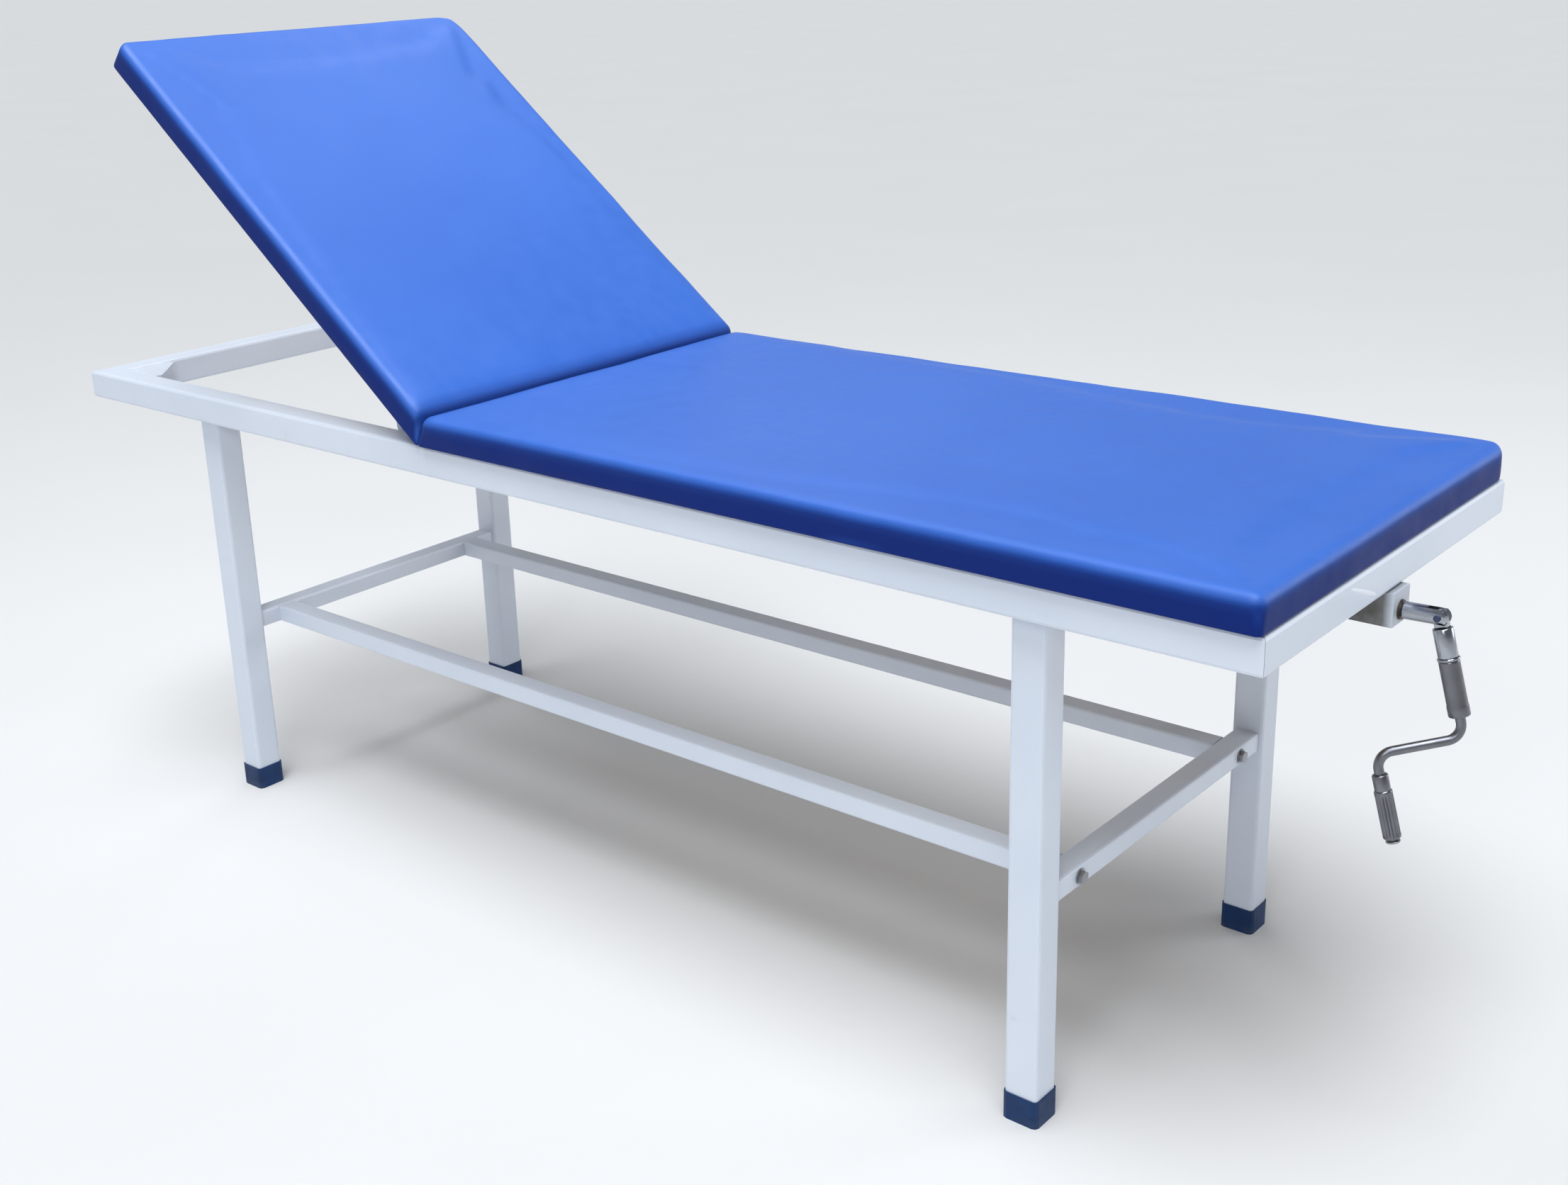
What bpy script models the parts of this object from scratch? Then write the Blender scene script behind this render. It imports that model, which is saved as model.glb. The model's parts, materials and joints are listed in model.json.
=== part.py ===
"""Examination couch with a crank-raised backrest.

Frame: +X towards the foot end and its crank, +Z up, floor at z = 0, and the origin under the
middle of the overall length. Lengths are in metres. The couch is drawn in frame coordinates,
with x = 0 at the middle of the steel frame, and the whole couch is then moved so that the
origin lies under the middle of the overall length. The backrest stands raised by BACK_ANGLE.
"""
import math

import bmesh
import bpy
from mathutils import Matrix, Vector

# ---------------------------------------------------------------- driving dimensions
GAP = 0.0003                    # clearance between touching pieces

FRAME_LENGTH = 1.900
FRAME_WIDTH = 0.590
FRAME_TOP = 0.625
RAIL = 0.040                    # square tube of the frame and the legs
RAIL_WALL = 0.0015
TUBE_CORNER = 0.004             # outer corner radius of that tube

HEAD_LEG_X = -0.685             # leg centres along the frame
FOOT_LEG_X = 0.695
LEG_INSET = 0.021               # outer face of a leg, in from the frame's side

STRETCHER_W = 0.030
STRETCHER_H = 0.025
STRETCHER_TOP = 0.277
LONG_STRETCHER_Y = 0.186        # centre of each long stretcher
END_PLATE = 0.004               # welded end plate of a long stretcher
BOLT_R = 0.004
BOLT_HEAD_R = 0.0075
BOLT_HEAD_H = 0.0050
BOLT_SHANK = 0.045

CAP_HEIGHT = 0.033
CAP_WALL = 0.0018
CAP_FLOOR = 0.004

PAD_WIDTH = 0.610
PAD_THICK = 0.045
BOARD_THICK = 0.009
BOARD_INSET = 0.008
PAD_CORNER = 0.018              # plan radius of a pad's corners
PAD_EDGE = 0.012                # roundness of a pad's upper and lower edges
SEAT_LEAN = -0.0055             # shift of the seat pad's underside at the crease
BACK_LEAN = 0.0150              # the same for the back pad, so that both ends run side by side
CREASE_SET = 0.0050             # how far the back pad's top edge keeps clear of the seat pad
LEAN_REACH = 0.045              # how far from the crease that shift dies out
SEAT_HEAD_X = -0.173
SEAT_FOOT_X = 0.950
SLAT = 0.025                    # square tube of the seat's cross members
SLAT_XS = (-0.145, 0.260, 0.640)
GUSSET = 0.070                  # leg length of a corner gusset
GUSSET_THICK = 0.003

BACK_ANGLE = math.radians(38.0)
BACK_LENGTH = 0.730
PIVOT_X = -0.1902
PIVOT_Z = FRAME_TOP - 0.020
BACK_START = 0.0223             # lower end of the back pad, in from the hinge axis
BACK_TUBE = 0.020
BACK_TUBE_Y = 0.2387            # centre of each side tube of the backrest frame
BACK_CROSS_TS = (0.045, 0.330, 0.608)

EAR_THICK = 0.004
EAR_Y = 0.251                   # centre of each hinge plate
HINGE_TUBE_R = 0.011
HINGE_BORE_R = 0.0064
HINGE_PIN_R = 0.006
HINGE_PIN_END = 0.220

LEVER_R = 0.080                 # hinge axis to lever pin
LEVER_FLAT_ANGLE = math.radians(22.5)    # lever, ahead of straight down, with the back flat
LEVER_THICK = 0.006
LEVER_PIN_R = 0.005
SLOT_RISE = 0.0060              # travel of the lever pin up and down in its slot
SLOT_DROP = 0.0010              # middle of that travel, below its place at rest

SHAFT_X = 0.996                 # fold pin of the crank
SHAFT_Z = FRAME_TOP - 0.0605
SCREW_R = 0.008
SCREW_END = 0.360               # free end of the lead screw, in from the fold pin
NUT_START = 0.187
NUT_LENGTH = 0.028
NUT_R = 0.015
PUSH_R = 0.0125
PUSH_BORE_R = 0.010
YOKE_BACK = 0.030               # lever pin to the end of the push tube

BRACKET_IN_X = 0.912
BRACKET_OUT_X = 0.9565
BRACKET_HALF_Y = 0.020
BRACKET_DEPTH = 0.0357
BRACKET_PLATE = 0.0042
SHAFT_R = 0.0090

CRANK_HANG = math.radians(15.6)          # lean of the hanging crank away from the couch
CRANK_SWING = math.radians(34.0)         # arm, turned out of the couch's centre plane
SLEEVE_START = 0.0115
RING_AT = 0.042
RING_LENGTH = 0.003
SLEEVE_END = 0.103
SLEEVE_UPPER_R = 0.0100
SLEEVE_LOWER_R = 0.0108
TONGUE_HALF = 0.0038
ROD_R = 0.0051
ROD_START = 0.070
ELBOW_AT = 0.1258
ELBOW_R = 0.016
ARM_LENGTH = 0.0857
GRIP_START = 0.021
GRIP_END = 0.089
GRIP_COLLAR = 0.016
GRIP_R = 0.0091
GRIP_COLLAR_R = 0.0080

# ---------------------------------------------------------------- derived places
HALF_L = FRAME_LENGTH / 2
HALF_W = FRAME_WIDTH / 2
RAIL_BOTTOM = FRAME_TOP - RAIL
RAIL_MID = FRAME_TOP - RAIL / 2
RAIL_INNER_Y = HALF_W - RAIL
LEG_Y = HALF_W - LEG_INSET - RAIL / 2
STRETCHER_Z = STRETCHER_TOP - STRETCHER_H / 2
SHAFT_PIN = Vector((SHAFT_X, 0.0, SHAFT_Z))
LEVER_REST_ANGLE = BACK_ANGLE - LEVER_FLAT_ANGLE
LEVER_PIN = Vector((PIVOT_X - LEVER_R * math.sin(LEVER_REST_ANGLE), 0.0,
                    PIVOT_Z - LEVER_R * math.cos(LEVER_REST_ANGLE)))
SCREW_AXIS = (SHAFT_PIN - LEVER_PIN).normalized()
SCREW_SLOPE = math.atan2(SCREW_AXIS.z, SCREW_AXIS.x)
SLEEVE_AXIS = Vector((math.sin(CRANK_HANG), 0.0, -math.cos(CRANK_HANG)))
ARM_AXIS = Vector((-math.cos(CRANK_HANG) * math.cos(CRANK_SWING), -math.sin(CRANK_SWING),
                   -math.sin(CRANK_HANG) * math.cos(CRANK_SWING)))
ELBOW = SHAFT_PIN + ELBOW_AT * SLEEVE_AXIS
HANDLE_TOP = ELBOW + ARM_LENGTH * ARM_AXIS
SIDES = (("near", -1), ("far", 1))
SEGMENTS = 24


# ---------------------------------------------------------------- scene helpers
def clear_scene():
    for obj in list(bpy.data.objects):
        bpy.data.objects.remove(obj, do_unlink=True)


clear_scene()
COUCH = bpy.data.collections.new("examination_couch")
CUTTERS = bpy.data.collections.new("couch_cutters")
bpy.context.scene.collection.children.link(COUCH)
bpy.context.scene.collection.children.link(CUTTERS)


def material(name, colour, roughness, metallic):
    mat = bpy.data.materials.new(name)
    mat.use_nodes = True
    shader = mat.node_tree.nodes["Principled BSDF"]
    shader.inputs["Base Color"].default_value = (*colour, 1.0)
    shader.inputs["Roughness"].default_value = roughness
    shader.inputs["Metallic"].default_value = metallic
    mat.diffuse_color = (*colour, 1.0)
    return mat


COAT = material("white_powder_coat", (0.72, 0.76, 0.84), 0.35, 0.0)
CHROME = material("chrome", (0.78, 0.78, 0.80), 0.15, 1.0)
STEEL = material("zinc_steel", (0.55, 0.56, 0.58), 0.35, 1.0)
VINYL = material("blue_vinyl", (0.07, 0.20, 0.78), 0.45, 0.0)
PLYWOOD = material("plywood", (0.55, 0.38, 0.22), 0.70, 0.0)
CAP_PLASTIC = material("navy_plastic", (0.01, 0.05, 0.18), 0.45, 0.0)
NYLON = material("nylon", (0.80, 0.80, 0.76), 0.50, 0.0)
BRONZE = material("bronze", (0.60, 0.42, 0.20), 0.35, 1.0)


def add_object(name, mesh, mat, parent=None, collection=COUCH):
    obj = bpy.data.objects.new(name, mesh)
    collection.objects.link(obj)
    if mat is not None:
        mesh.materials.clear()
        mesh.materials.append(mat)
    if parent is not None:
        obj.parent = parent
    return obj


def empty(name, location, parent=None):
    obj = bpy.data.objects.new(name, None)
    COUCH.objects.link(obj)
    obj.location = location
    if parent is not None:
        obj.parent = parent
    return obj


def mesh_of_curve(obj):
    """The curve object's mesh with its caps welded; the curve is removed."""
    depsgraph = bpy.context.evaluated_depsgraph_get()
    mesh = bpy.data.meshes.new_from_object(obj.evaluated_get(depsgraph))
    bpy.data.objects.remove(obj, do_unlink=True)
    bm = bmesh.new()
    bm.from_mesh(mesh)
    bmesh.ops.remove_doubles(bm, verts=bm.verts, dist=1e-5)
    bm.to_mesh(mesh)
    bm.free()
    return mesh


def plate_mesh(outlines, thickness, bevel=0.0):
    """A flat plate in the local XY plane, centred on z = 0. Later outlines are its holes."""
    curve = bpy.data.curves.new("outline", "CURVE")
    curve.dimensions = "2D"
    curve.fill_mode = "BOTH"
    curve.extrude = thickness / 2 - bevel
    curve.bevel_depth = bevel
    curve.bevel_resolution = 1
    curve.offset = -bevel
    for points in outlines:
        spline = curve.splines.new("POLY")
        spline.points.add(len(points) - 1)
        for point, (x, y) in zip(spline.points, points):
            point.co = (x, y, 0.0, 1.0)
        spline.use_cyclic_u = True
    obj = bpy.data.objects.new("outline", curve)
    bpy.context.scene.collection.objects.link(obj)
    return mesh_of_curve(obj)


def circle(radius, centre=(0.0, 0.0), count=SEGMENTS):
    step = 2 * math.pi / count
    return [(centre[0] + radius * math.cos(i * step), centre[1] + radius * math.sin(i * step))
            for i in range(count)]


def rounded_rectangle(width, height, radius, steps=2, centre=(0.0, 0.0)):
    points = []
    for quarter in range(4):
        side_x = 1 if quarter in (0, 3) else -1
        side_y = 1 if quarter in (0, 1) else -1
        cx = centre[0] + side_x * (width / 2 - radius)
        cy = centre[1] + side_y * (height / 2 - radius)
        for i in range(steps + 1):
            angle = math.pi / 2 * (quarter + i / steps)
            points.append((cx + radius * math.cos(angle), cy + radius * math.sin(angle)))
    return points


def stadium(width, length, centre=(0.0, 0.0), steps=8):
    """A slot outline, its length along the second axis."""
    radius = width / 2
    reach = length / 2 - radius
    points = []
    for end in (0, 1):
        cy = centre[1] + (reach if end == 0 else -reach)
        for i in range(steps + 1):
            angle = math.pi * (end + i / steps)
            points.append((centre[0] + radius * math.cos(angle), cy + radius * math.sin(angle)))
    return points


def hull_of_circles(discs, steps=8):
    """The outline around discs given as (x, y, radius), counter-clockwise, each an arc."""
    points = []
    count = len(discs)
    normals = []
    for i in range(count):
        ax, ay, ar = discs[i]
        bx, by, br = discs[(i + 1) % count]
        span = math.hypot(bx - ax, by - ay)
        heading = math.atan2(by - ay, bx - ax)
        normals.append(heading - math.pi / 2 + math.asin((ar - br) / span))
    for i in range(count):
        x, y, radius = discs[i]
        start = normals[i - 1]
        turn = (normals[i] - start) % (2 * math.pi)
        for k in range(steps + 1):
            angle = start + turn * k / steps
            points.append((x + radius * math.cos(angle), y + radius * math.sin(angle)))
    return points


def turned_mesh(profile, steps=SEGMENTS):
    """Turn (radius, height) points about local Z. The profile runs down its outer side."""
    mesh = bpy.data.meshes.new("turned")
    verts = [(radius, 0.0, height) for radius, height in profile]
    closed = profile[0][0] > 1e-6
    edges = [(i, i + 1) for i in range(len(verts) - 1)]
    if closed:
        edges.append((len(verts) - 1, 0))
    mesh.from_pydata(verts, edges, [])
    obj = bpy.data.objects.new("turned", mesh)
    bpy.context.scene.collection.objects.link(obj)
    screw = obj.modifiers.new("turn", "SCREW")
    screw.steps = steps
    screw.render_steps = steps
    screw.use_merge_vertices = True
    screw.merge_threshold = 0.00001
    screw.use_normal_calculate = False
    return mesh_of_curve(obj)


def ring_mesh(outer, inner, length, steps=SEGMENTS):
    """A round bush about local Z, from z = 0 up."""
    return turned_mesh([(outer, length), (outer, 0.0), (inner, 0.0), (inner, length)], steps)


def rod_mesh(radius, length, steps=SEGMENTS, chamfer=0.0):
    """A solid round bar about local Z, from z = 0 up."""
    profile = [(0.0, length), (radius - chamfer, length), (radius, length - chamfer),
               (radius, chamfer), (radius - chamfer, 0.0), (0.0, 0.0)]
    if chamfer == 0.0:
        profile = [(0.0, length), (radius, length), (radius, 0.0), (0.0, 0.0)]
    return turned_mesh(profile, steps)


def box_mesh(low, high):
    mesh = bpy.data.meshes.new("box")
    bm = bmesh.new()
    size = [high[i] - low[i] for i in range(3)]
    centre = [(high[i] + low[i]) / 2 for i in range(3)]
    bmesh.ops.create_cube(bm, size=1.0)
    bmesh.ops.scale(bm, vec=size, verts=bm.verts)
    bmesh.ops.translate(bm, vec=centre, verts=bm.verts)
    bm.to_mesh(mesh)
    bm.free()
    return mesh


def square_tube_mesh(width, height, length, wall, corner):
    """An open square tube along local Z, centred."""
    outer = rounded_rectangle(width, height, corner)
    inner = rounded_rectangle(width - 2 * wall, height - 2 * wall, corner - wall)
    return plate_mesh([outer, inner], length)


def aim(axis, turn=0.0):
    """Rotation that takes local Z to axis, after a turn about local Z."""
    return Vector((0.0, 0.0, 1.0)).rotation_difference(Vector(axis)) @ \
        Matrix.Rotation(turn, 3, "Z").to_quaternion()


def place(obj, location, axis=None, turn=0.0):
    obj.location = location
    if axis is not None:
        obj.rotation_mode = "QUATERNION"
        obj.rotation_quaternion = aim(axis, turn)
    return obj


def cut(obj, cutter_mesh, name, location=(0.0, 0.0, 0.0), axis=None):
    """Cut obj, in its own local coordinates, with the cutter."""
    cutter = add_object(name, cutter_mesh, None, parent=obj, collection=CUTTERS)
    place(cutter, location, axis)
    cutter.hide_render = True
    cutter.display_type = "WIRE"
    boolean = obj.modifiers.new(name, "BOOLEAN")
    boolean.operation = "DIFFERENCE"
    boolean.solver = "EXACT"
    boolean.object = cutter


def smooth(obj, angle=35.0):
    obj.data.shade_smooth()
    obj.data.set_sharp_from_angle(angle=math.radians(angle))
    return obj


# ---------------------------------------------------------------- steel frame
def mitred_rail(name, length, location, turn):
    """A top rail along X before its turn, with its ends cut at 45 degrees towards +Y."""
    mesh = square_tube_mesh(RAIL, RAIL, length, RAIL_WALL, TUBE_CORNER)
    mesh.transform(Matrix(((0, 0, 1, 0), (1, 0, 0, 0), (0, 1, 0, 0), (0, 0, 0, 1))))
    for vert in mesh.vertices:
        inwards = vert.co.y + RAIL / 2
        vert.co.x -= math.copysign(inwards, vert.co.x)
    obj = add_object(name, mesh, COAT, ROOT)
    obj.location = location
    obj.rotation_euler = (0.0, 0.0, turn)
    return smooth(obj)


def build_frame():
    inset = RAIL / 2
    mitre_gap = 2 * GAP
    side = FRAME_LENGTH - mitre_gap
    end = FRAME_WIDTH - mitre_gap
    mitred_rail("side_rail_near", side, (0.0, -HALF_W + inset, RAIL_MID), 0.0)
    mitred_rail("side_rail_far", side, (0.0, HALF_W - inset, RAIL_MID), math.pi)
    mitred_rail("foot_rail", end, (HALF_L - inset, 0.0, RAIL_MID), math.pi / 2)
    mitred_rail("head_rail", end, (-HALF_L + inset, 0.0, RAIL_MID), -math.pi / 2)


def build_gussets():
    """Flat triangles that stiffen the head corners, just below the rails' upper face."""
    outline = [(0.0, 0.0), (GUSSET, 0.0), (GUSSET, 0.012), (0.012, GUSSET), (0.0, GUSSET)]
    for side, sy in SIDES:
        mesh = plate_mesh([outline], GUSSET_THICK)
        gusset = add_object(f"corner_gusset_{side}", mesh, COAT, ROOT)
        y = sy * (RAIL_INNER_Y - GAP)
        gusset.location = (RAIL + GAP - HALF_L, y, FRAME_TOP - 0.002 - GUSSET_THICK / 2)
        gusset.rotation_euler = (0.0, 0.0, 0.0 if sy < 0 else -math.pi / 2)


def build_slats():
    length = 2 * (RAIL_INNER_Y - GAP)
    for index, x in enumerate(SLAT_XS):
        mesh = square_tube_mesh(SLAT, SLAT, length, RAIL_WALL, 0.003)
        obj = add_object(f"seat_cross_member_{index + 1}", mesh, COAT, ROOT)
        place(obj, (x, 0.0, FRAME_TOP - GAP - SLAT / 2), (0.0, 1.0, 0.0))


def build_legs():
    bottom = CAP_FLOOR + GAP
    top = RAIL_BOTTOM - GAP
    for end, x in (("head", HEAD_LEG_X), ("foot", FOOT_LEG_X)):
        for side, sy in SIDES:
            mesh = square_tube_mesh(RAIL, RAIL, top - bottom, RAIL_WALL, TUBE_CORNER)
            leg = add_object(f"leg_{end}_{side}", mesh, COAT, ROOT)
            leg.location = (x, sy * LEG_Y, (top + bottom) / 2)
            smooth(leg)
            build_cap(f"foot_cap_{end}_{side}", x, sy * LEG_Y)


def build_cap(name, x, y):
    outer = RAIL + 2 * CAP_WALL
    mesh = plate_mesh([rounded_rectangle(outer, outer, TUBE_CORNER + CAP_WALL)], CAP_HEIGHT)
    cap = add_object(name, mesh, CAP_PLASTIC, ROOT)
    cap.location = (x, y, CAP_HEIGHT / 2)
    hole = RAIL + 2 * GAP
    socket = plate_mesh([rounded_rectangle(hole, hole, TUBE_CORNER)], CAP_HEIGHT)
    cut(cap, socket, f"{name}_socket", (0.0, 0.0, CAP_FLOOR))
    return cap


def build_cross_stretchers():
    length = 2 * (LEG_Y - RAIL / 2 - GAP)
    for end, x in (("head", HEAD_LEG_X), ("foot", FOOT_LEG_X)):
        mesh = square_tube_mesh(STRETCHER_W, STRETCHER_H, length, RAIL_WALL, 0.003)
        obj = add_object(f"cross_stretcher_{end}", mesh, COAT, ROOT)
        place(obj, (x, 0.0, STRETCHER_Z), (0.0, 1.0, 0.0))
        for side, sy in SIDES:
            hole = rod_mesh(BOLT_R + GAP, 0.06, 16)
            at = (-0.03, 0.0, sy * LONG_STRETCHER_Y)
            cut(obj, hole, f"cross_stretcher_{end}_{side}_hole", at, (1.0, 0.0, 0.0))


def build_long_stretchers():
    low = HEAD_LEG_X + STRETCHER_W / 2 + GAP
    high = FOOT_LEG_X - STRETCHER_W / 2 - GAP
    length = high - low
    for side, sy in SIDES:
        outline = rounded_rectangle(STRETCHER_H, STRETCHER_W, 0.003)
        obj = add_object(f"long_stretcher_{side}", plate_mesh([outline], length), COAT, ROOT)
        place(obj, ((low + high) / 2, sy * LONG_STRETCHER_Y, STRETCHER_Z), (1.0, 0.0, 0.0))
        inner = rounded_rectangle(STRETCHER_H - 2 * RAIL_WALL, STRETCHER_W - 2 * RAIL_WALL, 0.0015)
        cut(obj, plate_mesh([inner], length - 2 * END_PLATE), f"long_stretcher_{side}_bore")
        cut(obj, rod_mesh(BOLT_R + GAP, length + 0.02, 16), f"long_stretcher_{side}_tap",
            (0.0, 0.0, -length / 2 - 0.01))


def build_bolts():
    """Hexagon bolts through the cross stretchers into the long stretchers' end plates."""
    head = circle(BOLT_HEAD_R, count=6)
    for end, x, sx in (("head", HEAD_LEG_X, -1), ("foot", FOOT_LEG_X, 1)):
        for side, sy in SIDES:
            mesh = bpy.data.meshes.new("bolt")
            bm = bmesh.new()
            flange = rod_mesh(BOLT_HEAD_R + 0.0015, 0.0012, 16)
            bm.from_mesh(flange)
            bm.to_mesh(mesh)
            bm.free()
            obj = add_object(f"stretcher_bolt_{end}_{side}", mesh, STEEL, ROOT)
            face = x + sx * (STRETCHER_W / 2 + GAP)
            place(obj, (face, sy * LONG_STRETCHER_Y, STRETCHER_Z), (sx, 0.0, 0.0))
            join(obj, plate_mesh([head], BOLT_HEAD_H), f"{obj.name}_hex", (0, 0, 0.001 + BOLT_HEAD_H / 2))
            join(obj, rod_mesh(BOLT_R, BOLT_SHANK, 16), f"{obj.name}_shank", (0, 0, 0.0005 - BOLT_SHANK))


def join(obj, other_mesh, name, location=(0.0, 0.0, 0.0), axis=None):
    """Unite obj, in its own local coordinates, with another closed shape."""
    other = add_object(name, other_mesh, None, parent=obj, collection=CUTTERS)
    place(other, location, axis)
    other.hide_render = True
    other.display_type = "WIRE"
    boolean = obj.modifiers.new(name, "BOOLEAN")
    boolean.operation = "UNION"
    boolean.solver = "EXACT"
    boolean.object = other


# ---------------------------------------------------------------- pads and boards
def pad_piece(name, low_x, high_x, low_z, high_z, width, mat, parent, corner, edge):
    outline = rounded_rectangle(high_x - low_x, width, corner, steps=4)
    obj = add_object(name, plate_mesh([outline], high_z - low_z, edge), mat, parent)
    obj.location = ((low_x + high_x) / 2, 0.0, (low_z + high_z) / 2)
    return smooth(obj, 60.0)


def lean_end(obj, end, lean):
    """Slants a pad's end (-1 head, +1 foot): its underside moves by lean, its top edge stays."""
    points = [vert.co for vert in obj.data.vertices]
    edge = max(end * co.x for co in points)
    top = max(co.z for co in points)
    low = min(co.z for co in points)
    for co in points:
        close = max(1.0 - (edge - end * co.x) / LEAN_REACH, 0.0)
        co.x += lean * close * (top - co.z) / (top - low)


def build_seat():
    board_low = FRAME_TOP + GAP
    board_high = FRAME_TOP + BOARD_THICK
    pad_piece("seat_board", SEAT_HEAD_X + BOARD_INSET, SEAT_FOOT_X - BOARD_INSET, board_low,
              board_high, PAD_WIDTH - 2 * BOARD_INSET, PLYWOOD, ROOT, PAD_CORNER - 0.006, 0.0)
    pad = pad_piece("seat_pad", SEAT_HEAD_X, SEAT_FOOT_X, board_high + GAP, FRAME_TOP + PAD_THICK,
                    PAD_WIDTH, VINYL, ROOT, PAD_CORNER, PAD_EDGE)
    lean_end(pad, -1.0, SEAT_LEAN)


# ---------------------------------------------------------------- backrest, drawn lying flat
def build_backrest():
    """The backrest's own axes have their origin on the hinge, with x running to the foot."""
    head = -BACK_START - BACK_LENGTH
    rail_top = FRAME_TOP - PIVOT_Z
    board_top = rail_top + BOARD_THICK
    pad_piece("back_board", head + BOARD_INSET, -BACK_START - BOARD_INSET, rail_top + GAP,
              board_top, PAD_WIDTH - 2 * BOARD_INSET, PLYWOOD, BACK, PAD_CORNER - 0.006, 0.0)
    pad = pad_piece("back_pad", head, -BACK_START - CREASE_SET, board_top + GAP, rail_top + PAD_THICK,
                    PAD_WIDTH, VINYL, BACK, PAD_CORNER, PAD_EDGE)
    lean_end(pad, 1.0, BACK_LEAN)
    build_back_frame(rail_top - BACK_TUBE / 2)
    build_hinge_plates(rail_top)
    build_lever()


def build_back_frame(tube_z):
    start = -BACK_START - 0.012
    end = -BACK_START - BACK_CROSS_TS[-1] - BACK_TUBE / 2
    for side, sy in SIDES:
        mesh = square_tube_mesh(BACK_TUBE, BACK_TUBE, start - end, RAIL_WALL, 0.003)
        tube = add_object(f"back_side_tube_{side}", mesh, COAT, BACK)
        place(tube, ((start + end) / 2, sy * BACK_TUBE_Y, tube_z), (1.0, 0.0, 0.0))
    length = 2 * (BACK_TUBE_Y - BACK_TUBE / 2 - GAP)
    for index, along in enumerate(BACK_CROSS_TS):
        mesh = square_tube_mesh(BACK_TUBE, BACK_TUBE, length, RAIL_WALL, 0.003)
        tube = add_object(f"back_cross_tube_{index + 1}", mesh, COAT, BACK)
        place(tube, (-BACK_START - along, 0.0, tube_z), (0.0, 1.0, 0.0))


def build_hinge_plates(rail_top):
    """Plates that hang from the side tubes to the hinge axis, with a deep stiffening heel."""
    discs = [(0.0, 0.0, 0.013), (-0.030, rail_top - 0.0085, 0.008),
             (-0.122, rail_top - 0.0085, 0.008), (-0.0775, rail_top - 0.053, 0.008)]
    outline = hull_of_circles(discs)
    hole = circle(HINGE_PIN_R + GAP)
    for side, sy in SIDES:
        plate = add_object(f"hinge_plate_{side}", plate_mesh([outline, hole], EAR_THICK), COAT, BACK)
        plate.location = (0.0, sy * EAR_Y, 0.0)
        plate.rotation_euler = (math.pi / 2, 0.0, 0.0)
        smooth(plate)
    length = 2 * (EAR_Y - EAR_THICK / 2 - GAP)
    tube = add_object("hinge_tube", ring_mesh(HINGE_TUBE_R, HINGE_BORE_R, length), COAT, BACK)
    smooth(place(tube, (0.0, -length / 2, 0.0), (0.0, 1.0, 0.0)))


def build_hinge_pins():
    for side, sy in SIDES:
        foot = RAIL_INNER_Y - GAP
        pin = add_object(f"hinge_pin_{side}", rod_mesh(HINGE_PIN_R, foot - HINGE_PIN_END), STEEL, ROOT)
        smooth(place(pin, (PIVOT_X, sy * foot, PIVOT_Z), (0.0, -sy, 0.0)))
        washer_out = EAR_Y + EAR_THICK / 2 + GAP
        mesh = ring_mesh(0.011, HINGE_PIN_R + GAP, foot - washer_out - GAP)
        washer = add_object(f"hinge_washer_{side}", mesh, NYLON, ROOT)
        smooth(place(washer, (PIVOT_X, sy * washer_out, PIVOT_Z), (0.0, sy, 0.0)))


def build_lever():
    """The lever stands ahead of straight down by LEVER_FLAT_ANGLE while the back lies flat."""
    tip = (LEVER_R * math.sin(LEVER_FLAT_ANGLE), -LEVER_R * math.cos(LEVER_FLAT_ANGLE))
    outline = hull_of_circles([(tip[0], tip[1], 0.013), (0.0, 0.0, 0.020)])
    holes = [circle(HINGE_TUBE_R + GAP), circle(LEVER_PIN_R + GAP, tip)]
    lever = add_object("lift_lever", plate_mesh([outline] + holes, LEVER_THICK), COAT, BACK)
    lever.rotation_euler = (math.pi / 2, 0.0, 0.0)
    smooth(lever)
    half = 0.014
    pin = add_object("lever_pin", rod_mesh(LEVER_PIN_R, 2 * half), STEEL, BACK)
    smooth(place(pin, (tip[0], -half, tip[1]), (0.0, 1.0, 0.0)))


# ---------------------------------------------------------------- lead screw and push tube
def along_screw(distance):
    """A point on the screw's axis, distance in from the crank's fold pin."""
    return SHAFT_PIN - distance * SCREW_AXIS


def build_push_tube():
    tube_end = (SHAFT_PIN - LEVER_PIN).length - YOKE_BACK
    tube_start = NUT_START + NUT_LENGTH + GAP
    mesh = ring_mesh(PUSH_R, PUSH_BORE_R, tube_end - tube_start)
    smooth(place(add_object("push_tube", mesh, STEEL, ROOT), along_screw(tube_end), SCREW_AXIS))
    nut = add_object("lead_nut", ring_mesh(NUT_R, SCREW_R + GAP, NUT_LENGTH), BRONZE, ROOT)
    smooth(place(nut, along_screw(NUT_START + NUT_LENGTH), SCREW_AXIS))
    build_yoke(tube_end + GAP)


def build_yoke(start):
    """A fork on the push tube's end. Its slots let the lever pin rise and fall."""
    base = 0.006
    yoke = add_object("push_yoke", box_mesh((-0.044, -0.0095, -0.018), (0.0, 0.0095, 0.018)), STEEL, ROOT)
    place(yoke, along_screw(start))
    yoke.rotation_euler = (0.0, -SCREW_SLOPE, 0.0)
    cut(yoke, box_mesh((-0.05, -0.0045, -0.02), (-base, 0.0045, 0.02)), "push_yoke_mouth")
    slot = stadium(2 * (LEVER_PIN_R + 0.001), SLOT_RISE + 2 * (LEVER_PIN_R + 0.001))
    cutter = plate_mesh([slot], 0.03)
    cutter.transform(Matrix.Rotation(math.pi / 2, 4, "X"))
    cut(yoke, cutter, "push_yoke_slot", (GAP - YOKE_BACK, 0.0, -SLOT_DROP))


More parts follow.
